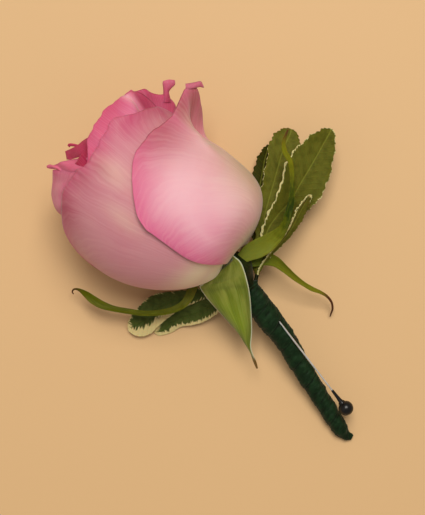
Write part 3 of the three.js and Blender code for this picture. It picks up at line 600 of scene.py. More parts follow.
# Inner petals and the heart of the bud
# Smaller petals stand in a spiral round the dense heart, each a golden turn from the last. Their deep
# crimson is partly their own darker colour and partly painted shade deep in the bud. They roll tighter
# towards the middle and show only at the bud's open mouth.
INNER_PETALS = 8
INNER_START = 22.0
INNER_RISE = 0.7
INNER_BOWL = 8.0
INNER_RADIUS = 12.2
INNER_STEP = 1.32
INNER_HEIGHT = 50.5
INNER_DROP = 0.25
INNER_FOOT = 1.5
INNER_ROLL = 0.7
INNER_SPIRAL = 0.3
INNER_TURN = 160.0
INNER_HALF_TURNS = (58.0, 13.0, 150.0)
INNER_FRAY = 0.5
INNER_FRAY_PACE = 9
INNER_RUFFLE = 0.25
INNER_RUFFLE_PACE = 14
SHOULDERS = (1.2, 9.0)
GOLDEN_TURN = 137.5
CORE_RADIUS = 11.5
CORE_MIDDLE = 18.0
CORE_HALF = 17.0
CORE_FOOT = 4.5
ROOT_RADIUS = 7.0
POLE_GAP = 0.03
WELD = 1e-7
FAR_FROM_MARGIN = 9.0


def inner_grid(k, columns=56, rows=36):
    u, v = unit_grid(columns, rows)
    first, more, most = INNER_HALF_TURNS
    side = 2 * u - 1
    reach = INNER_RADIUS - INNER_STEP * k
    start = INNER_START + INNER_RISE * k
    rim = INNER_HEIGHT - INNER_DROP * k - SHOULDERS[1] * side ** 6 - SHOULDERS[0] * side ** 2
    rim = rim + INNER_FRAY * np.sin(INNER_FRAY_PACE * side + 2 * k)
    rise = INNER_FOOT + (rim - start - INNER_FOOT) * v
    bowl = np.sqrt(1 - np.clip((INNER_BOWL - rise) / INNER_BOWL, 0, 1) ** 2)
    ruffle = INNER_RUFFLE * np.sin(INNER_RUFFLE_PACE * side + k)
    roll = (INNER_ROLL + ruffle) * late(v, ROLL_START)
    turn = INNER_TURN + GOLDEN_TURN * k + min(first + more * k, most) * side
    points = bloom_point(start + rise, turn, (reach + INNER_SPIRAL * side) * bowl + roll)
    return {"points": points, "u": u, "v": v, "rise": v, **dict.fromkeys(SPOT_MASKS, 0 * v)}


def heart_mesh(name, sides=48, rows=40):
    rise = (1 - np.cos(np.linspace(POLE_GAP, math.pi - POLE_GAP, rows))) / 2
    height = CORE_FOOT + (CORE_MIDDLE + CORE_HALF - CORE_FOOT) * rise
    oval = CORE_RADIUS * np.sqrt(np.clip(1 - ((height - CORE_MIDDLE) / CORE_HALF) ** 2, 0, None))
    oval = np.maximum(oval, np.where(height < CORE_MIDDLE, ROOT_RADIUS, 0))
    turn = np.linspace(0, 360, sides, endpoint=False)
    along = np.repeat(height[:, None], sides, 1)
    radius = np.minimum(oval[:, None], bud_radius(along, turn[None, :]))
    # The heart's upper part darkens as painted shade deep inside the bud
    return tube_mesh(name, bloom_point(along, turn[None, :] + 0 * along, radius),
                     {"rise": rise, "flush_and_shade": 0.3, "pale": 0.0, "painted_shade": 0.5 * ease((rise - 0.3) / 0.2)})


def tube_mesh(name, rings, masks):
    """A closed tube through rings of places in mm. U runs round it and V along it."""
    count, sides = rings.shape[:2]
    ends = np.stack([rings[0].mean(0), rings[-1].mean(0)])
    index = np.arange(count * sides).reshape(count, sides)
    after = np.roll(index, -1, axis=1)
    sheets = np.stack([index[:-1], after[:-1], after[1:], index[1:]], -1).reshape(-1, 4)
    low = [[count * sides, int(b), int(a)] for a, b in zip(index[0], after[0])]
    high = [[count * sides + 1, int(a), int(b)] for a, b in zip(index[-1], after[-1])]
    u = np.broadcast_to(np.arange(sides) / sides, (count, sides))
    v = np.broadcast_to(np.linspace(0, 1, count)[:, None], (count, sides))
    uvs = np.concatenate([np.stack([u, v], -1).reshape(-1, 2), [[0.5, 0.0], [0.5, 1.0]]])
    values = {"margin": [np.full(count * sides + 2, FAR_FROM_MARGIN)]}
    for key, value in masks.items():
        level = np.broadcast_to(value, count)
        values[key] = [np.repeat(level, sides), level[[0, -1]]]
    thing = finish_mesh(name, np.concatenate([rings.reshape(-1, 3), ends]), sheets.tolist() + low + high, uvs,
                        values)
    turn_outwards(thing.data)
    return thing


def turn_outwards(mesh):
    """Welds corners that coincide and turns all faces outwards, smooth."""
    shape = bmesh.new()
    shape.from_mesh(mesh)
    bmesh.ops.remove_doubles(shape, verts=shape.verts, dist=WELD)
    bmesh.ops.recalc_face_normals(shape, faces=shape.faces)
    shape.to_mesh(mesh)
    shape.free()
    mesh.polygons.foreach_set("use_smooth", [True] * len(mesh.polygons))


petal_piece("petals_inner", [inner_grid(k) for k in range(INNER_PETALS)], "inner")
attach(heart_mesh("bud_heart"), petal_looks["heart"], "petals", "rose_petals")


# Hip and stem of the rose
# The bloom, its green urn-shaped hip and its stem grew as one. The stem bends down into the tape
# and ends in a cut there.
HIP_LENGTH = 5.4
STEM_RADIUS = 1.45
STEM_RISE = 0.55
STEM_STATIONS = 9
STEM_TAPER = 0.03
STEM_END = 0.975
# Heights along the bloom's axis and radii, from the stem up
HIP_PROFILE = [(-6.6, STEM_RADIUS), (-HIP_LENGTH, 2.4), (-4.3, 3.5), (-2.9, 4.5), (-1.6, 4.6),
               (-0.5, 4.4), (0.8, 4.2), (2.4, 3.8), (3.4, 3.0)]
ABOVE_TABLE = (-9, -9, 0)
ROUTE_STEP = 0.01
# A dry tip that would start beyond the end of the piece
NO_DRY_TIP = 1.2
PATH_SIZES = {"half_width": MM, "half_height": MM, "curl": MM, "roll": 1.0}
# The middle of the taped stem, with half its width and height, and then its loose tail
TAPE_ROUTE = [
    (-0.15, -6.55, 14.85, 2, 2), (-1, -9.55, 13.8, 2.8, 2.7), (-1.5, -13.2, 12.6, 3.35, 3.0),
    (-1.5, -17.6, 11, 3.3, 3.02), (-1.35, -23.5, 9.2, 2.95, 2.75), (-2.1, -29.8, 7.4, 2.75, 2.5),
    (-2.8, -38, 5.3, 2.5, 2.35), (-3.4, -45.5, 3.7, 2.35, 2.25), (-4, -52.8, 2.25, 2.2, 2.15),
    (-3.9, -55.4, 1.6, 1.5, 1.1), (-2.9, -57.2, 1, 0.8, 0.6),
]


def taped_route(start, count, sideways, upwards, radius):
    """Stations of a stem that enters the tape from start and runs on beside its middle."""
    stations = [(*start, radius(0), radius(0))]
    for k in range(count):
        t = k / (len(TAPE_ROUTE) - 1)
        ahead = through(TAPE_ROUTE, min(t + ROUTE_STEP, 1)) - through(TAPE_ROUTE, max(t - ROUTE_STEP, 0))
        tangent = ahead[:3] / np.linalg.norm(ahead[:3])
        side = np.cross((0, 0, 1), tangent)
        side /= np.linalg.norm(side)
        place = np.array(TAPE_ROUTE[k][:3]) + side * sideways + np.cross(tangent, side) * upwards(k)
        stations.append((*place, radius(k + 1), radius(k + 1)))
    return stations


def sweep_group():
    """A tube along a path of stations. Its section is an oval, curled up at its sides and rolled."""
    group, given, sink = new_group(
        "swept_section", {"Path": "Geometry", "Rings": 48, "Sides": 20}, {"Tube": "Geometry"}, "Geometry")
    curve = add(group, "GeometryNodeMeshToCurve", {"Mesh": given["Path"]}).outputs["Curve"]
    curve = add(group, "GeometryNodeCurveSplineType", {"Curve": curve}, spline_type="CATMULL_ROM").outputs[0]
    curve = add(group, "GeometryNodeResampleCurve", {"Curve": curve, "Count": given["Rings"]}).outputs[0]
    tangent = add(group, "GeometryNodeInputTangent").outputs[0]
    side = vector_maths(group, "NORMALIZE", vector_maths(group, "CROSS_PRODUCT", (0, 0, 1), tangent))
    lift = vector_maths(group, "CROSS_PRODUCT", tangent, side)
    parameter = add(group, "GeometryNodeSplineParameter").outputs
    place = add(group, "GeometryNodeInputPosition").outputs[0]
    for name, value, kind in (("centre", place, "FLOAT_VECTOR"), ("side", side, "FLOAT_VECTOR"),
                              ("lift", lift, "FLOAT_VECTOR"), ("along", parameter["Factor"], "FLOAT"),
                              ("reach", parameter["Length"], "FLOAT")):
        curve = store(group, curve, name, value, kind)
    ring = add(group, "GeometryNodeCurvePrimitiveCircle", {"Resolution": given["Sides"], "Radius": MM})
    ring = store(group, ring.outputs["Curve"], "round", add(group, "GeometryNodeSplineParameter").outputs[0])
    tube = add(group, "GeometryNodeCurveToMesh", {"Curve": curve, "Profile Curve": ring, "Fill Caps": True})
    angle = maths(group, "MULTIPLY", named(group, "round"), 2 * math.pi)
    across = maths(group, "MULTIPLY", maths(group, "COSINE", angle), named(group, "half_width"))
    above = maths(group, "MULTIPLY", maths(group, "SINE", angle), named(group, "half_height"))
    edge = maths(group, "POWER", maths(group, "COSINE", angle), 2.0)
    above = maths(group, "ADD", above, maths(group, "MULTIPLY", edge, named(group, "curl")))
    turned = add(group, "ShaderNodeVectorRotate", {
        "Vector": vector(group, across, above), "Angle": named(group, "roll")}, rotation_type="Z_AXIS")
    parts = add(group, "ShaderNodeSeparateXYZ", {0: turned.outputs[0]}).outputs
    sideways = scaled(group, named(group, "side", "FLOAT_VECTOR"), parts[0])
    upwards = scaled(group, named(group, "lift", "FLOAT_VECTOR"), parts[1])
    place = vector_maths(group, "ADD", vector_maths(group, "ADD", sideways, upwards),
                         named(group, "centre", "FLOAT_VECTOR"))
    place = vector_maths(group, "MAXIMUM", place, ABOVE_TABLE)
    tube = add(group, "GeometryNodeSetPosition", {"Geometry": tube.outputs[0], "Position": place}).outputs[0]
    flow = scaled(group, vector(group, across, above, named(group, "reach")), 1 / MM)
    tube = store(group, tube, "flow", flow, "FLOAT_VECTOR")
    group.links.new(tube, sink["Tube"])
    return group


def store(tree, geometry, name, value, kind="FLOAT"):
    return add(tree, "GeometryNodeStoreNamedAttribute", {"Geometry": geometry, "Name": name, "Value": value},
               data_type=kind, domain="POINT").outputs[0]


def named(tree, name, kind="FLOAT"):
    return add(tree, "GeometryNodeInputNamedAttribute", {"Name": name}, data_type=kind).outputs["Attribute"]


def vector_maths(tree, operation, *values):
    return add(tree, "ShaderNodeVectorMath", dict(enumerate(values)), operation=operation).outputs[0]


def scaled(tree, arrow, factor):
    return add(tree, "ShaderNodeVectorMath", {0: arrow, "Scale": factor}, operation="SCALE").outputs[0]


def modifier_tree(name, sizes):
    """A tree for a modifier, with its geometry and its named sizes as inputs."""
    return new_group(name, {"Geometry": "Geometry", **sizes}, {"Geometry": "Geometry"}, "Geometry")


def swept(tree, path, rings, sides):
    return add(tree, "GeometryNodeGroup", {"Path": path, "Rings": rings, "Sides": sides},
               node_tree=SWEEP).outputs[0]


def close_tree(tree, geometry, material, sink):
    geometry = add(tree, "GeometryNodeRealizeInstances", {"Geometry": geometry}).outputs[0]
    geometry = add(tree, "GeometryNodeSetMaterial", {"Geometry": geometry, "Material": material}).outputs[0]
    tree.links.new(geometry, sink["Geometry"])


SWEEP = sweep_group()


def path_object(name, route):
    """A path of stations in mm: place, half-width, half-height and, where they are given, curl and roll."""
    places = [tuple((np.array(station[:3]) - MIDDLE) * MM) for station in route]
    mesh = bpy.data.meshes.new(name)
    mesh.from_pydata(places, [(k, k + 1) for k in range(len(route) - 1)], [])
    for k, (key, scale) in enumerate(PATH_SIZES.items(), start=3):
        values = [float(station[k]) * scale if k < len(station) else 0.0 for station in route]
        mesh.attributes.new(key, "FLOAT", "POINT").data.foreach_set("value", values)
    return new_object(name, mesh)


def grow(thing, tree, **sizes):
    """Runs a tree on an object and makes its result a plain mesh with its faces outwards."""
    modifier = thing.modifiers.new("grow", "NODES")
    modifier.node_group = tree
    for item in tree.interface.items_tree:
        if item.in_out == "INPUT" and item.name in sizes:
            modifier[item.identifier] = sizes[item.name]
    view = bpy.context.evaluated_depsgraph_get()
    mesh = bpy.data.meshes.new_from_object(thing.evaluated_get(view), preserve_all_data_layers=True,
                                           depsgraph=view)
    thing.modifiers.remove(modifier)
    turn_outwards(mesh)
    thing.data = mesh
    return thing


def swept_piece(name, route, material, slot, node, rings, sides):
    tree, given, sink = modifier_tree("sweep_" + name, {"Rings": "Int", "Sides": "Int"})
    close_tree(tree, swept(tree, given["Geometry"], given["Rings"], given["Sides"]), material, sink)
    attach(grow(path_object(name, route), tree, Rings=rings, Sides=sides), material, slot, node)


def plant_group():
    """Blotches and fine lines that run along a stem or sepal, by its flow attribute in mm."""
    group, given, sink = new_group(
        "plant_grain", {"Across": 3.0, "Along": 0.35, "Flow": "Vector"},
        {"Lines": "Float", "Blotches": "Float"})
    parts = add(group, "ShaderNodeSeparateXYZ", {0: given["Flow"]}).outputs
    fine = vector(group, maths(group, "MULTIPLY", parts[0], given["Across"]),
                  maths(group, "MULTIPLY", parts[1], given["Across"]),
                  maths(group, "MULTIPLY", parts[2], given["Along"]))
    group.links.new(noise(group, fine), sink["Lines"])
    group.links.new(noise(group, given["Flow"], 0.45, 3.0), sink["Blotches"])
    return group


PLANT_GRAIN = plant_group()


def plant_grain(tree, across=3.0, along=0.35):
    flow = add(tree, "ShaderNodeAttribute", attribute_name="flow").outputs["Vector"]
    made = add(tree, "ShaderNodeGroup", {"Across": across, "Along": along, "Flow": flow},
               node_tree=PLANT_GRAIN)
    return made.outputs["Lines"], made.outputs["Blotches"]


def green_material(name, deep, light, tip, tip_start, middle=None, streak=0.22):
    """Green plant skin, deep at its foot and lighter along it, that dries to brown at its tip."""
    material, tree, shader = new_material(
        name, Roughness=0.5, Subsurface_Weight=0.12, Subsurface_Scale=0.001,
        Sheen_Weight=0.05, Sheen_Roughness=0.4, Specular_IOR_Level=0.08)
    lines, blotches = plant_grain(tree)
    along = attribute(tree, "along")
    uneven = maths(tree, "ADD", along, swing(tree, blotches, 0.3))
    base = blend(tree, ramp(tree, uneven, 0.02, 0.5), deep, light)
    if middle:
        band = maths(tree, "MULTIPLY", ramp(tree, uneven, 0.22, 0.46), ramp(tree, uneven, 0.85, 0.5))
        base = blend(tree, band, base, middle)
    base = blend(tree, ramp(tree, lines, 0.45, 0.75, 0.0, streak), base, colour(150, 154, 30))
    dry = maths(tree, "ADD", along, swing(tree, lines, 0.06))
    base = blend(tree, ramp(tree, dry, tip_start - 0.08, tip_start + 0.04), base, tip)
    paint(tree, shader, base, lines)
    return material


# Near-black green: the stems' own dark green, darkened further as painted shade for the hip, stem and twigs
# deep between the sepals and leaves
stem_green_and_shade = green_material(
    "stem_skin_and_shade", colour(18, 22, 4), colour(26, 34, 8), colour(50, 58, 28), NO_DRY_TIP, streak=0.05)
hip_path = [(*bloom_point(np.array(height), np.array(0.0), np.array(0.0)), radius, radius)
            for height, radius in HIP_PROFILE]
swept_piece("rose_hip", hip_path, stem_green_and_shade, "calyx", "rose_calyx_stem", rings=28, sides=36)
stem_route = taped_route(
    bloom_point(np.array(-HIP_LENGTH), np.array(0.0), np.array(STEM_RISE)),
    STEM_STATIONS, 0.0,
    lambda k: STEM_RISE * (1 - k / STEM_STATIONS),
    lambda k: STEM_RADIUS - STEM_TAPER * k)
stem_route[-1] = tuple(through(stem_route, STEM_END))
swept_piece("rose_stem", stem_route, stem_green_and_shade, "calyx", "rose_calyx_stem", rings=60, sides=18)


# Sepals
# Five green leaves of the calyx held the bud shut and have folded back. The broad one lies towards
# the stem with downy pale margins. The others are narrow straps that curl and dry brown at the tip.
SEPAL_THICKNESS = 0.4
BLADE_GRID = (48, 120)
BLADE_WIDTH = 8.0
RIB_REACH = 0.45
EDGE_STEP = 0.02
WAVE_SLANT = 0.35
FINE_WAVES = 9.3
FINE_SLANT = 0.8
TOOTH_WAVES = (17.0, 7.3)
BROAD_LEFT = [(-3.4, 2.6, 20.6), (-6.7, 2.3, 19), (-9.9, 2.4, 17.4), (-11.2, 2.1, 16.4), (-11.6, -1.1, 16),
              (-11.4, -3.9, 15.6), (-10.8, -9.5, 14), (-10.5, -15, 12), (-10.9, -19.6, 10.2),
              (-11.9, -22.8, 9.2), (-12.5, -25.3, 8.4)]
BROAD_RIGHT = [(1, 3.6, 22.6), (1.4, 1.4, 22.6), (1.1, -0.7, 22), (0, -4, 20.5), (-1.4, -7, 18.8),
               (-4, -11.2, 16.2), (-7.1, -15.8, 13.6), (-9.7, -19, 11.6), (-10.8, -21.4, 10.3),
               (-11.3, -23.4, 9.4), (-12.1, -25.4, 8.5)]
# Place, half-width, half-height, the lift of its sides in mm, and its roll in radians
SEPAL_STRAPS = {
    "sepal_left": [
        (-3.8, -1.4, 14, 2, 0.5, 0.2, -0.3), (-6.6, 0.6, 11, 1.8, 0.4, 0.4, -0.2),
        (-9.4, 2.8, 9.2, 1.5, 0.35, 0.5, 0), (-11.7, 3.8, 9, 1.35, 0.32, 0.5, 0),
        (-13.5, 2.8, 9.4, 1.3, 0.3, 0.5, 0), (-15.6, 1.5, 10, 1.2, 0.3, 0.5, 0.1),
        (-18.3, 0.9, 10.2, 1.05, 0.3, 0.4, 0.2), (-21.6, 1.6, 10, 0.9, 0.3, 0.3, 0.2),
        (-24.8, 3.2, 9.7, 0.8, 0.3, 0.3, 0.2), (-28.2, 5.6, 9.3, 0.75, 0.3, 0.3, 0.2),
        (-31.2, 8.5, 9, 0.8, 0.3, 0.3, 0.3), (-33.9, 11.4, 9, 0.85, 0.25, 0.3, 0.3),
        (-35.8, 14.2, 9, 1.1, 0.22, 0.3, 0.1), (-36.9, 16.8, 9, 1.15, 0.22, 0.3, 0),
        (-37.5, 19.2, 8.8, 0.9, 0.2, 0.3, -0.2), (-38.3, 21.2, 8.2, 0.55, 0.2, 0.1, -0.6),
        (-39.4, 22.3, 7, 0.4, 0.18, 0, -1.0), (-40.4, 22.2, 6, 0.28, 0.15, 0, -1.0),
        (-40.6, 21.5, 5.4, 0.18, 0.12, 0, -1.0)],
    "sepal_upright": [
        (1.4, 1.2, 18.4, 1.5, 0.6, 0.2, 0), (2.9, 1.5, 18.8, 1.7, 0.5, 0.3, 0),
        (5.1, 1.5, 19.4, 2.3, 0.4, 0.5, 0.1), (7.4, 1.1, 20, 2.6, 0.35, 0.6, 0.2),
        (10.2, 0.8, 20.2, 2.5, 0.3, 0.7, 0.3), (13.2, 0.9, 20.1, 2.0, 0.3, 0.6, 0.4),
        (15.4, 1.3, 20, 1.5, 0.3, 0.5, 0.4), (17.4, 2.2, 19.8, 1.25, 0.3, 0.4, 0.3),
        (19.3, 3.5, 19.8, 1.1, 0.3, 0.3, 0.2), (21.4, 5.2, 19.8, 0.95, 0.3, 0.2, 0.2),
        (23.6, 7.5, 20, 0.75, 0.3, 0.2, 0.2), (25.4, 9.9, 20.2, 0.6, 0.28, 0.2, 0.1),
        (27.1, 12.4, 20.5, 0.64, 0.25, 0.2, 0), (28.2, 14.7, 20.9, 0.7, 0.25, 0.2, 0),
        (28.5, 17.3, 21.2, 0.66, 0.22, 0.2, 0), (29.8, 19.5, 21.6, 0.5, 0.22, 0.1, 0),
        (31.3, 20.6, 22, 0.34, 0.18, 0, 0), (32.6, 21.4, 22.2, 0.18, 0.14, 0, 0)],
    "sepal_right": [
        (2.4, 0.4, 14.6, 1.8, 0.6, 0.2, 0), (5.2, -1, 14.4, 2, 0.4, 0.4, 0),
        (7.6, -2.6, 13.6, 1.8, 0.32, 0.6, 0.1), (9.3, -4.8, 12.9, 1.45, 0.3, 0.7, 0.2),
        (10.2, -7.9, 11.9, 1.1, 0.3, 0.6, 0.3), (10.9, -11.3, 10.6, 0.85, 0.3, 0.5, 0.2),
        (11.8, -14.4, 9.2, 0.66, 0.3, 0.4, 0), (12.8, -17, 8, 0.68, 0.28, 0.3, -0.3),
        (14.1, -19.2, 7, 0.56, 0.26, 0.2, -0.6), (15, -21.3, 6, 0.5, 0.24, 0.1, -0.8),
        (15.1, -23.4, 5, 0.44, 0.22, 0, -0.8), (14.3, -25.1, 3.8, 0.38, 0.2, 0, -0.8),
        (13.1, -26.1, 2.4, 0.28, 0.18, 0, -0.8), (12.6, -26.6, 1.2, 0.16, 0.12, 0, -0.8)],
    "sepal_under": [
        (-0.9, 0.2, 12.4, 1.8, 0.6, 0.2, 0), (-0.3, -2, 10.2, 1.6, 0.5, 0.3, 0),
        (0, -4.3, 8.2, 1.3, 0.4, 0.4, 0), (-0.1, -7.9, 6.4, 1.1, 0.35, 0.4, 0),
        (-0.3, -12.3, 4.6, 1, 0.3, 0.3, 0), (-0.8, -17.9, 3, 0.7, 0.3, 0.1, 0),
        (-1.5, -23.5, 1.6, 0.3, 0.2, 0, 0)],
}
SEPAL_LOOKS = {
    "sepal_left": (colour(128, 132, 56), colour(84, 90, 0), 0.95),
    "sepal_upright": (colour(112, 120, 40), colour(112, 112, 6), 0.96),
    "sepal_right": (colour(84, 96, 20), colour(112, 112, 22), 0.76),
    "sepal_under": (colour(94, 110, 36), colour(98, 110, 28), 0.93),
}
DRY_TIP = colour(84, 48, 26)

for name, (deep, light, tip_start) in SEPAL_LOOKS.items():
    dark_middle = colour(40, 56, 0) if name == "sepal_upright" else None
    skin = green_material(name + "_skin", deep, light, DRY_TIP, tip_start, dark_middle)
    swept_piece(name, SEPAL_STRAPS[name], skin, "calyx", "rose_calyx_stem", rings=110, sides=24)


def between_grid(left, right, bow, ripple, rib, waves=3.0, fine=0.0, teeth=0.0):
    """A blade between two edges, bulged by bow and waved by ripple, with a groove along its rib."""
    u, v = unit_grid(*BLADE_GRID)
    a, b = through(left, v), through(right, v)
    along = through(left, np.minimum(v + EDGE_STEP, 1)) - through(left, np.maximum(v - EDGE_STEP, 0))
    normal = np.cross(b - a, along)
    normal /= np.linalg.norm(normal, axis=2, keepdims=True)
    normal = np.where(normal[..., 2:] < 0, -normal, normal)
    side = 2 * u - 1
    gap = np.linalg.norm(b - a, axis=2)
    wide = np.minimum(gap / BLADE_WIDTH, 1)
    wave = ripple * wide * np.abs(side) ** 3 * np.sin(2 * math.pi * (waves * v + WAVE_SLANT * side))
    fine_wave = np.sin(2 * math.pi * (FINE_WAVES * v + FINE_SLANT * side))
    wave = wave + fine * wide * np.abs(side) ** 4 * fine_wave
    groove = rib * wide * np.exp(-(side * gap / 2 / RIB_REACH) ** 2)
    often, seldom = TOOTH_WAVES
    tooth = np.sin(2 * math.pi * often * v) * np.sin(2 * math.pi * seldom * v + side) * teeth
    share = 0.5 + side / 2 * (1 + np.abs(side) ** 6 * tooth / np.maximum(gap, 0.5))
    points = a + (b - a) * share[..., None]
    points = points + normal * (bow * wide * (1 - side * side) + wave - groove)[..., None]
    middle = through((np.array(left) + np.array(right)) / 2, v[0])
    steps = np.linalg.norm(np.diff(middle, axis=0), axis=1)
    length = np.concatenate([[0.0], np.cumsum(steps)])[None, :] + 0 * u
    return {"points": points, "u": u, "v": v, "rise": v, "cross": side * gap / 2, "length": length}


def distance(tree, value, middle):
    return maths(tree, "ABSOLUTE", maths(tree, "SUBTRACT", value, middle))


def broad_sepal_material():
    material, tree, shader = new_material(
        "broad_sepal_skin", Roughness=0.58, Subsurface_Weight=0.15, Subsurface_Scale=0.001,
        Sheen_Weight=0.25, Sheen_Roughness=0.5, Specular_IOR_Level=0.1)
    lines, clouds = veins(tree, 46.0, 3.0)
    rise, margin = attribute(tree, "rise"), attribute(tree, "margin")
    base = blend(tree, ramp(tree, clouds, 0.35, 0.7), colour(96, 108, 22), colour(140, 144, 62))
    centre = maths(tree, "SUBTRACT", 1.0, ramp(tree, distance(tree, rise, 0.66), 0.0, 0.4))
    bright = maths(tree, "MULTIPLY", centre, ramp(tree, margin, 0.6, 2.8, 0.0, 0.8))
    base = blend(tree, bright, base, colour(118, 140, 6))
    # Painted shade: a darker band in the fold that runs across the sepal
    crease = distance(tree, maths(tree, "ADD", rise, maths(tree, "MULTIPLY", clouds, 0.1)), 0.385)
    base = blend(tree, ramp(tree, crease, 0.035, 0.0, 0.0, 0.3), base, colour(70, 80, 20))
    base = blend(tree, ramp(tree, lines, 0.45, 0.75, 0.0, 0.3), base, colour(164, 172, 92))
    uneven = maths(tree, "ADD", margin, swing(tree, lines, 0.6))
    base = blend(tree, ramp(tree, uneven, 0.36, 0.06), base, colour(208, 212, 182))
    base = blend(tree, ramp(tree, rise, 0.78, 0.92), base, colour(108, 80, 26))
    paint(tree, shader, base, lines, depth=0.15, strength=0.5)
    return material


broad = between_grid(BROAD_LEFT, BROAD_RIGHT, bow=1.1, ripple=0.25, rib=0.1, waves=2.6)
broad_sepal = blade_mesh("sepal_broad", [broad], SEPAL_THICKNESS, ("rise",))
attach(broad_sepal, broad_sepal_material(), "calyx", "rose_calyx_stem")


# Leaf sprigs
# Two short twigs of a variegated shrub: thin tough leaves, green with ragged cream margins and a
# pale rib. The right sprig shows the duller undersides of its leaves, the left one their dark tops.
LEAF_THICKNESS = 0.34
TWIG_RADIUS = 0.55
TWIG_SIDE = 1.15
TWIG_DROP = 1.15
TWIG_STATIONS = 4
TWIG_FEET = {"left": (-2, -4.9, 12.2), "right": (3.1, -4.6, 13.1)}
# The crest that the two halves of the folded leaf share
FOLD = [(3.1, -4.7, 13.9), (5.1, -3.2, 14.8), (9.9, -1.7, 15.6), (15.3, -0.3, 16.4), (19.1, 1.4, 16.8),
        (22.2, 3.1, 17), (25.3, 4.1, 16.9), (27.1, 4.2, 16.4)]
# Each leaf: its left and right edges from foot to tip. Its cream is given in mm, at stations along the
# left edge and the right one, and then at the tip
RIGHT_LEAVES = [
    [{"left": [(2.8, -4.4, 13.1), (3.9, -1, 11), (6.9, 2.6, 9), (10.3, 7.0, 7.5), (13.5, 11.6, 6.2),
               (16.0, 14.9, 5.6), (18.7, 17.7, 5), (22.2, 20.6, 4.8), (25.1, 21.9, 4.8), (27.2, 22.3, 4.8)],
      "right": [(3.3, -4.8, 13.1), (4.6, -2, 11), (8.1, 1.4, 9), (12.1, 5.3, 7.4), (15.8, 8.7, 6),
                (19.2, 11.8, 5.2), (22.8, 14.7, 4.8), (25.9, 17.9, 4.6), (27.6, 20.1, 4.6),
                (28.0, 21.5, 4.8)],
      "cream": ([-0.4, -0.4], [-0.4, -0.4], -0.4), "shade": 1.0}],
    [{"left": [(2.8, -4.4, 13.2), (3.6, -1.2, 12), (7.2, 2.1, 10.8), (11.1, 6.3, 10), (14.8, 10.4, 9.6),
               (17.4, 12.9, 9.4), (21.8, 16.6, 9.2), (27.0, 21.5, 9), (30.0, 23.2, 8.6), (32.7, 23.1, 8.2),
               (34.3, 22.4, 8)],
      "right": [(3.3, -4.8, 13.1), (4.4, -2.7, 12), (8.3, -0.1, 10.8), (12.6, 2.8, 10), (17.2, 5.8, 9.4),
                (21.4, 8.5, 9), (25.4, 11.1, 8.8), (29.6, 13.4, 8.6), (33.4, 16.0, 8.4), (35.0, 18.3, 8.2),
                (35.3, 20.9, 8)],
      "cream": ([-0.3, -0.3, 0, -0.1, -0.3], [-0.3, -0.3], -0.3), "shade": 0.15}],
    [{"left": [(2.9, -4.4, 13.4), (5.2, -2.2, 12.1), (8, 0.2, 11.2), (11.5, 4.4, 11.3), (15.9, 7.1, 12),
               (21.7, 10.3, 13.4), (27, 14.6, 14.2), (31.5, 16.2, 14.4), (37, 16.8, 14.2), (41, 16.3, 13.8),
               (42.8, 15.2, 13.6)],
      "right": [(3.3, -4.8, 13.1), (6, -3.3, 11.9), (9.2, -1.2, 10.8), (13.5, 1.8, 10.6), (18, 2.3, 10.5),
                (23, 1.2, 10.8), (28, 1.3, 11.4), (33.5, 3.8, 11.8), (38.6, 7.8, 12.2), (42.2, 11.8, 13),
                (43.3, 14.4, 13.4)],
      "cream": ([0, 0.2, 0.35, 0.5, 0.35, 0.5, 0.3, 0.1, -0.1, 0], [-0.3, -0.3, -0.2, 0, 0.1, 0.05, 0.15],
                0.1), "shade": 0.3}],
    [{"left": [(2.8, -4.4, 13.2), (3.6, -2.6, 13), (6.0, -1.2, 12.8), (9.6, -0.1, 12.6), (13.1, 0.6, 12.8),
               (16.7, 1.3, 13.2), (20.5, 2.8, 14), (24.4, 4.0, 15.4)],
      "right": FOLD, "cream": ([-0.3, -0.3], [0.15, 0.15, 0.1], 0.1), "shade": 0.35},
     {"left": FOLD,
      "right": [(3.2, -5, 13.4), (5.5, -4.0, 13.6), (10.6, -2.7, 13.7), (16.2, -2.0, 13.7),
                (19.9, -0.8, 13.6), (23.4, 0.7, 13.5), (26.0, 2.1, 13.6), (27.9, 3.7, 14.6)],
      "cream": ([0.5, 0.55, 0.6, 0.6, 0.6], [-0.2, 0.1, -0.2, 0.1], 0.5), "shade": 0.35}],
]
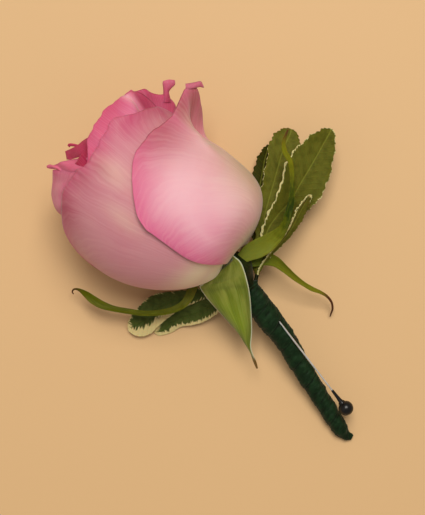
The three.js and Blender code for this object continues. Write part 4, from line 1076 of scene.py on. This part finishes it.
LEFT_LEAVES = [
    [{"left": [(-2, -4.4, 12.3), (-5.9, -0.7, 10.6), (-10.1, 1.0, 8.4), (-14.1, 3.0, 7), (-17.7, 5.2, 6),
               (-21.0, 7.2, 5), (-24.5, 8.2, 4.2), (-28.5, 7.8, 3.4), (-32.3, 6.8, 2.6), (-34.3, 5.4, 2.2)],
      "right": [(-2.2, -5.2, 12.2), (-6.4, -2.8, 10.4), (-11.1, -1.7, 8), (-15.4, -0.6, 6.2),
                (-19.7, 0.2, 4.8), (-23.6, 0.4, 3.8), (-27.2, 0.2, 3), (-30.8, -0.2, 2.4),
                (-33.6, 1.3, 2.2), (-34.9, 4.0, 2)],
      "cream": ([-0.3, -0.3, -0.3, -0.2, 0.1, 0.6], [-0.3, -0.3, 0, 0.6, 1.4, 2.2, 2.4, 1.6], 1.1),
      "shade": 0.25}],
    [{"left": [(-2, -4.8, 12.3), (-5.8, -2.9, 10.4), (-10.0, -2.2, 7.6), (-14.0, -1.0, 5.4),
               (-17.7, 0.2, 3.9), (-21.5, 1.1, 2.7), (-25.4, 1.1, 1.8), (-28.0, 0.2, 1.2),
               (-29.5, -0.6, 0.9)],
      "right": [(-2.2, -5.4, 12.2), (-6.1, -6.1, 10), (-9.6, -6.6, 7.4), (-13.2, -6.8, 5), (-16.5, -6.5, 3.4),
                (-19.7, -5.2, 2.2), (-22.3, -3.9, 1.4), (-25.9, -3.4, 0.7), (-29.1, -2.0, 0.4)],
      "cream": ([-0.2, -0.2, -0.1, 0.3, 0.9], [0.1, 0.3, 0.5, 0.7, 0.9, 1.1, 1.2, 1.3], 1.3), "shade": 0.5}],
]


def leaf_grid(leaf, teeth):
    grid = between_grid(leaf["left"], leaf["right"], bow=-0.5, ripple=0.3, rib=0.18, fine=0.06, teeth=teeth)
    half = np.abs(grid["cross"][-1])[None, :]
    left, right, tip = leaf["cream"]
    beyond = grid["length"][:, -1:] - grid["length"]
    left_band = through(left, grid["v"]) - (half + grid["cross"])
    right_band = through(right, grid["v"]) - (half - grid["cross"])
    grid["pale"] = np.maximum(np.maximum(left_band, right_band), tip - beyond)
    grid["shade"] = leaf["shade"] + 0 * grid["u"]
    return grid


def leaf_group():
    """A leaf's pattern by its attributes in mm: side veins, cream flames at its margins and mottling."""
    group, given, sink = new_group(
        "leaf_pattern", {
            "Vein Gap": 1.9, "Slope": 0.9, "Raggedness": 1.0,
            "Cross": "Float", "Length": "Float", "Pale": "Float"},
        {"Veins": "Float", "Cream": "Float", "Mottle": "Float", "Rib": "Float"})
    out = maths(group, "ABSOLUTE", given["Cross"])
    back = maths(group, "SUBTRACT", given["Length"], maths(group, "MULTIPLY", out, given["Slope"]))
    mottle = noise(group, vector(group, given["Cross"], given["Length"]), 0.5)
    phase = maths(group, "DIVIDE", maths(group, "ADD", back, swing(group, mottle, 1.2)), given["Vein Gap"])
    off = distance(group, maths(group, "FRACT", phase), 0.5)
    streak_place = vector(group, maths(group, "MULTIPLY", back, 2.2), maths(group, "MULTIPLY", out, 0.35),
                          maths(group, "SIGN", given["Cross"]))
    ragged = swing(group, noise(group, streak_place, detail=3.0), given["Raggedness"])
    cream = ramp(group, maths(group, "ADD", given["Pale"], ragged), -0.1, 0.12)
    group.links.new(ramp(group, off, 0.38, 0.5), sink["Veins"])
    group.links.new(cream, sink["Cream"])
    group.links.new(mottle, sink["Mottle"])
    group.links.new(ramp(group, out, 0.32, 0.08), sink["Rib"])
    return group


LEAF_PATTERN = leaf_group()


def leaf_material(name, green, dark, under, cream, rib, ragged, roughness):
    """Leaf skin with its cream margin, side veins and rib. The face that lies downwards is duller."""
    material, tree, shader = new_material(
        name, Roughness=roughness, Subsurface_Weight=0.1, Subsurface_Scale=0.001, Specular_IOR_Level=0.08)
    marks = add(tree, "ShaderNodeGroup", {
        "Raggedness": ragged, **{key.title(): attribute(tree, key) for key in ("cross", "length", "pale")},
    }, node_tree=LEAF_PATTERN).outputs
    base = blend(tree, attribute(tree, "shade"), green, dark)
    base = blend(tree, attribute(tree, "inside"), base, under)
    base = blend(tree, ramp(tree, marks["Mottle"], 0.35, 0.75, 0.0, 0.45), base, dark)
    base = blend(tree, maths(tree, "MULTIPLY", marks["Veins"], 0.1), base, rib)
    base = blend(tree, maths(tree, "MULTIPLY", marks["Rib"], 0.45), base, rib)
    base = blend(tree, marks["Cream"], base, cream)
    height = maths(tree, "ADD", marks["Veins"], marks["Mottle"])
    paint(tree, shader, base, height, depth=0.12, strength=0.6)
    return material


right_skin = leaf_material(
    "leaf_underside", green=colour(110, 110, 34), dark=colour(50, 52, 0), under=colour(54, 66, 12),
    cream=colour(222, 212, 150), rib=colour(138, 142, 52), ragged=1.2, roughness=0.6)
left_skin = leaf_material(
    "leaf_top", green=colour(28, 48, 4), dark=colour(24, 30, 0), under=colour(80, 92, 40),
    cream=colour(214, 196, 136), rib=colour(60, 80, 18), ragged=4.2, roughness=0.5)
LEAF_MASKS = ("rise", "cross", "length", "pale", "shade")


def sprig_pieces(sprig, leaves, skin, teeth, sideways):
    """The leaves of one sprig, each of one or two halves, and the twig that runs into the tape."""
    slot, node = "leaves_" + sprig, "leaf_sprig_" + sprig
    for k, leaf in enumerate(leaves, start=1):
        halves = [leaf_grid(half, teeth) for half in leaf]
        attach(blade_mesh(f"leaf_{sprig}_{k}", halves, LEAF_THICKNESS, LEAF_MASKS), skin, slot, node)
    route = taped_route(
        TWIG_FEET[sprig], TWIG_STATIONS, sideways, lambda k: -TWIG_DROP, lambda k: TWIG_RADIUS)
    route[-1] = tuple(through(route, STEM_END))
    swept_piece("twig_" + sprig, route, stem_green_and_shade, slot, node, rings=24, sides=14)


sprig_pieces("right", RIGHT_LEAVES, right_skin, teeth=0.8, sideways=TWIG_SIDE)
sprig_pieces("left", LEFT_LEAVES, left_skin, teeth=0.2, sideways=-TWIG_SIDE)


# Floral tape
# Thin stretchy crepe paper with a waxy hold, wound round the stems in overlapping turns from the
# bloom down, pressed flat by hand and twisted off in a short tail. It is a dark blue green.
TAPE_TURNS = 8.6
TAPE_STEP = 0.22
TAPE_CRINKLE = 0.27
TAPE_RINGS = 420
TAPE_SIDES = 72
TAPE_MOUTH = [(1, -5, 15.2, 1.4, 1.5), (-0.15, -6.55, 14.8, 2, 2.1), (-1, -9.55, 13.8, 2.8, 2.7)]


def tape_tree(material):
    tree, given, sink = modifier_tree("wound_tape", {"Turns": "Float", "Step": "Float", "Crinkle": "Float"})
    tube = swept(tree, given["Geometry"], TAPE_RINGS, TAPE_SIDES)
    along, angle = named(tree, "along"), named(tree, "round")
    phase = maths(tree, "SUBTRACT", maths(tree, "MULTIPLY", along, given["Turns"]), angle)
    lap = maths(tree, "FRACT", phase)
    edge = ramp(tree, lap, 1.0, 0.94)
    lift = maths(tree, "MULTIPLY", maths(tree, "MULTIPLY", lap, edge), given["Step"])
    fade = ramp(tree, along, 0.97, 0.8)
    turn = maths(tree, "MULTIPLY", angle, 2 * math.pi)
    creases = noise(tree, vector(
        tree, maths(tree, "MULTIPLY", phase, 6.0), maths(tree, "MULTIPLY", maths(tree, "COSINE", turn), 1.1),
        maths(tree, "MULTIPLY", maths(tree, "SINE", turn), 1.1)), detail=3.0)
    place = add(tree, "GeometryNodeInputPosition").outputs[0]
    lumps = noise(tree, place, 420.0, 2.0)
    rough = maths(tree, "ADD", swing(tree, creases, 2.4), swing(tree, lumps, 1.6))
    relief = maths(tree, "ADD", maths(tree, "MULTIPLY", lift, fade),
                   maths(tree, "MULTIPLY", rough, given["Crinkle"]))
    tube = store(tree, tube, "lap", lap)
    tube = store(tree, tube, "crease", creases)
    normal = add(tree, "GeometryNodeInputNormal").outputs[0]
    offset = scaled(tree, normal, maths(tree, "MULTIPLY", relief, MM))
    tube = add(tree, "GeometryNodeSetPosition", {"Geometry": tube, "Offset": offset}).outputs[0]
    tube = add(tree, "GeometryNodeSetPosition", {
        "Geometry": tube, "Position": vector_maths(tree, "MAXIMUM", place, ABOVE_TABLE)}).outputs[0]
    close_tree(tree, tube, material, sink)
    return tree


def tape_material():
    material, tree, shader = new_material(
        "floral_tape", Roughness=0.6, Specular_IOR_Level=0.12, Sheen_Weight=0.05, Sheen_Roughness=0.5)
    lines, blotches = plant_grain(tree, 1.6, 1.2)
    lap, crease = attribute(tree, "lap"), attribute(tree, "crease")
    base = blend(tree, ramp(tree, blotches, 0.35, 0.7), colour(12, 34, 12), colour(22, 48, 22))
    # Painted highlight on the ridges of the crinkles and painted shade in their grooves
    base = blend(tree, ramp(tree, crease, 0.55, 0.75, 0.0, 0.5), base, colour(40, 68, 38))
    base = blend(tree, ramp(tree, crease, 0.45, 0.3, 0.0, 0.7), base, colour(8, 20, 4))
    # Painted shade just below the lifted edge of each turn
    base = blend(tree, ramp(tree, lap, 0.1, 0.0, 0.0, 0.8), base, colour(4, 12, 2))
    fibres = noise(tree, add(tree, "ShaderNodeTexCoord").outputs["Object"], 2600.0, 3.0)
    height = maths(tree, "ADD", lines, maths(tree, "MULTIPLY", fibres, 0.5))
    paint(tree, shader, base, height, depth=0.18, strength=0.7)
    return material


tape_paper = tape_material()
tape = grow(path_object("tape_wound", TAPE_MOUTH + TAPE_ROUTE[2:]), tape_tree(tape_paper),
            Turns=TAPE_TURNS, Step=TAPE_STEP, Crinkle=TAPE_CRINKLE)
attach(tape, tape_paper, "tape", "floral_tape")


# Pin
# A straight polished steel pin, stuck through the tape into the stem. Its black glass-like head is
# moulded on, with a thin neck.
PIN_POINT = np.array([0.1, -9.8, 14.5])
PIN_HEAD = np.array([0.6, -48.8, 8.0])
PIN_RADIUS = 0.25
PIN_HEAD_RADIUS = 2.05
BALL_RINGS = 24
BALL_TURNS = (0.42, math.pi - 0.02)
# Shares of the way from the point to the head, with the radius there
PIN_TIP = [(0.0, 0.04), (0.02, 0.12), (0.06, 0.28)]
PIN_NECK = [(0.836, 0.33), (0.845, 0.38), (0.885, 0.46), (0.92, 0.56), (0.946, 0.75), (0.958, 1.1)]


def pin_rings(shares_and_radii):
    line = PIN_HEAD - PIN_POINT
    return [(*(PIN_POINT + line * share), radius, radius) for share, radius in shares_and_radii]


def steel_material():
    material, tree, shader = new_material("pin_steel", Metallic=1.0, Roughness=0.4)
    lines, blotches = plant_grain(tree, 6.0, 0.5)
    base = blend(tree, lines, colour(236, 236, 236), colour(252, 252, 250))
    paint(tree, shader, base)
    tree.links.new(ramp(tree, blotches, 0.3, 0.7, 0.34, 0.46), shader.inputs["Roughness"])
    return material


def bead_material():
    material, tree, shader = new_material(
        "pin_bead", Roughness=0.3, Coat_Weight=0.1, Coat_Roughness=0.2, Specular_IOR_Level=0.35)
    smears = noise(tree, add(tree, "ShaderNodeTexCoord").outputs["Object"], 500.0, 3.0)
    paint(tree, shader, blend(tree, smears, colour(6, 5, 4), colour(14, 12, 10)))
    tree.links.new(ramp(tree, smears, 0.3, 0.7, 0.28, 0.38), shader.inputs["Roughness"])
    return material


shaft = pin_rings(PIN_TIP + [(share, PIN_RADIUS) for share in (0.1, 0.3, 0.5, 0.7, 0.9, 0.99)])
swept_piece("pin_needle", shaft, steel_material(), "steel", "pin_shaft", rings=60, sides=20)
length = np.linalg.norm(PIN_HEAD - PIN_POINT)
ball = [(1 - math.cos(turn) * PIN_HEAD_RADIUS / length, math.sin(turn) * PIN_HEAD_RADIUS)
        for turn in np.linspace(*BALL_TURNS, BALL_RINGS)]
swept_piece("pin_bead", pin_rings(PIN_NECK + ball), bead_material(), "bead", "pin_head", rings=80, sides=48)


# Table, lights and camera
# A plain pale table top, soft studio light from the upper right of the picture, and the camera
# straight above, turned so that the bloom points to the upper left.
CAMERA_HEIGHT = 0.4
CAMERA_PLACE = (-0.005005, 0.008309)
CAMERA_TURN = math.radians(-37)
FOCAL_PIXELS = 1425
PICTURE_HEIGHT = 515
SENSOR = 36.0
NEAREST_SEEN = 0.01
TABLE_SIZE = 3.0
TABLE_COLOUR = colour(221, 181, 129)
WARM_WHITE = (1.0, 0.95, 0.88)
ROOM_STRENGTH = 0.29


def table_top():
    half = TABLE_SIZE / 2
    mesh = bpy.data.meshes.new("table_top")
    corners = [(-half, -half, 0), (half, -half, 0), (half, half, 0), (-half, half, 0)]
    mesh.from_pydata(corners, [], [(0, 1, 2, 3)])
    mesh.materials.append(new_material("pale_table", Roughness=0.6, Base_Color=TABLE_COLOUR)[0])
    thing = new_object("table_top", mesh)


def soft_light(name, azimuth, elevation, away, size, watts, tint):
    """A square soft light aimed at the bud. Azimuth counts from the picture's right, anticlockwise."""
    turn = math.radians(azimuth) + CAMERA_TURN
    rise = math.radians(elevation)
    toward = Vector((math.cos(turn) * math.cos(rise), math.sin(turn) * math.cos(rise), math.sin(rise)))
    data = bpy.data.lights.new(name, "AREA")
    data.shape = "SQUARE"
    data.size = size
    data.energy = watts
    data.color = tint
    thing = new_object(name, data)
    thing.location = toward * away
    thing.rotation_euler = toward.to_track_quat("Z", "Y").to_euler()


table_top()
soft_light("key_light", azimuth=84, elevation=70, away=1.0, size=0.45, watts=7.6, tint=WARM_WHITE)
soft_light("fill_light", azimuth=200, elevation=45, away=1.2, size=0.9, watts=0.5, tint=(1.0, 0.94, 0.88))
world = bpy.data.worlds.new("soft_room")
world.use_nodes = True
world.node_tree.nodes["Background"].inputs["Color"].default_value = (*WARM_WHITE, 1.0)
world.node_tree.nodes["Background"].inputs["Strength"].default_value = ROOM_STRENGTH
bpy.context.scene.world = world
bpy.context.scene.view_settings.view_transform = "Standard"

camera_data = bpy.data.cameras.new("camera")
camera_data.sensor_fit = "VERTICAL"
camera_data.sensor_height = SENSOR
camera_data.lens = SENSOR * FOCAL_PIXELS / PICTURE_HEIGHT
camera_data.clip_start = NEAREST_SEEN
camera = new_object("camera", camera_data)
camera.location = (*CAMERA_PLACE, CAMERA_HEIGHT)
camera.rotation_euler = (0, 0, CAMERA_TURN)
bpy.context.scene.camera = camera
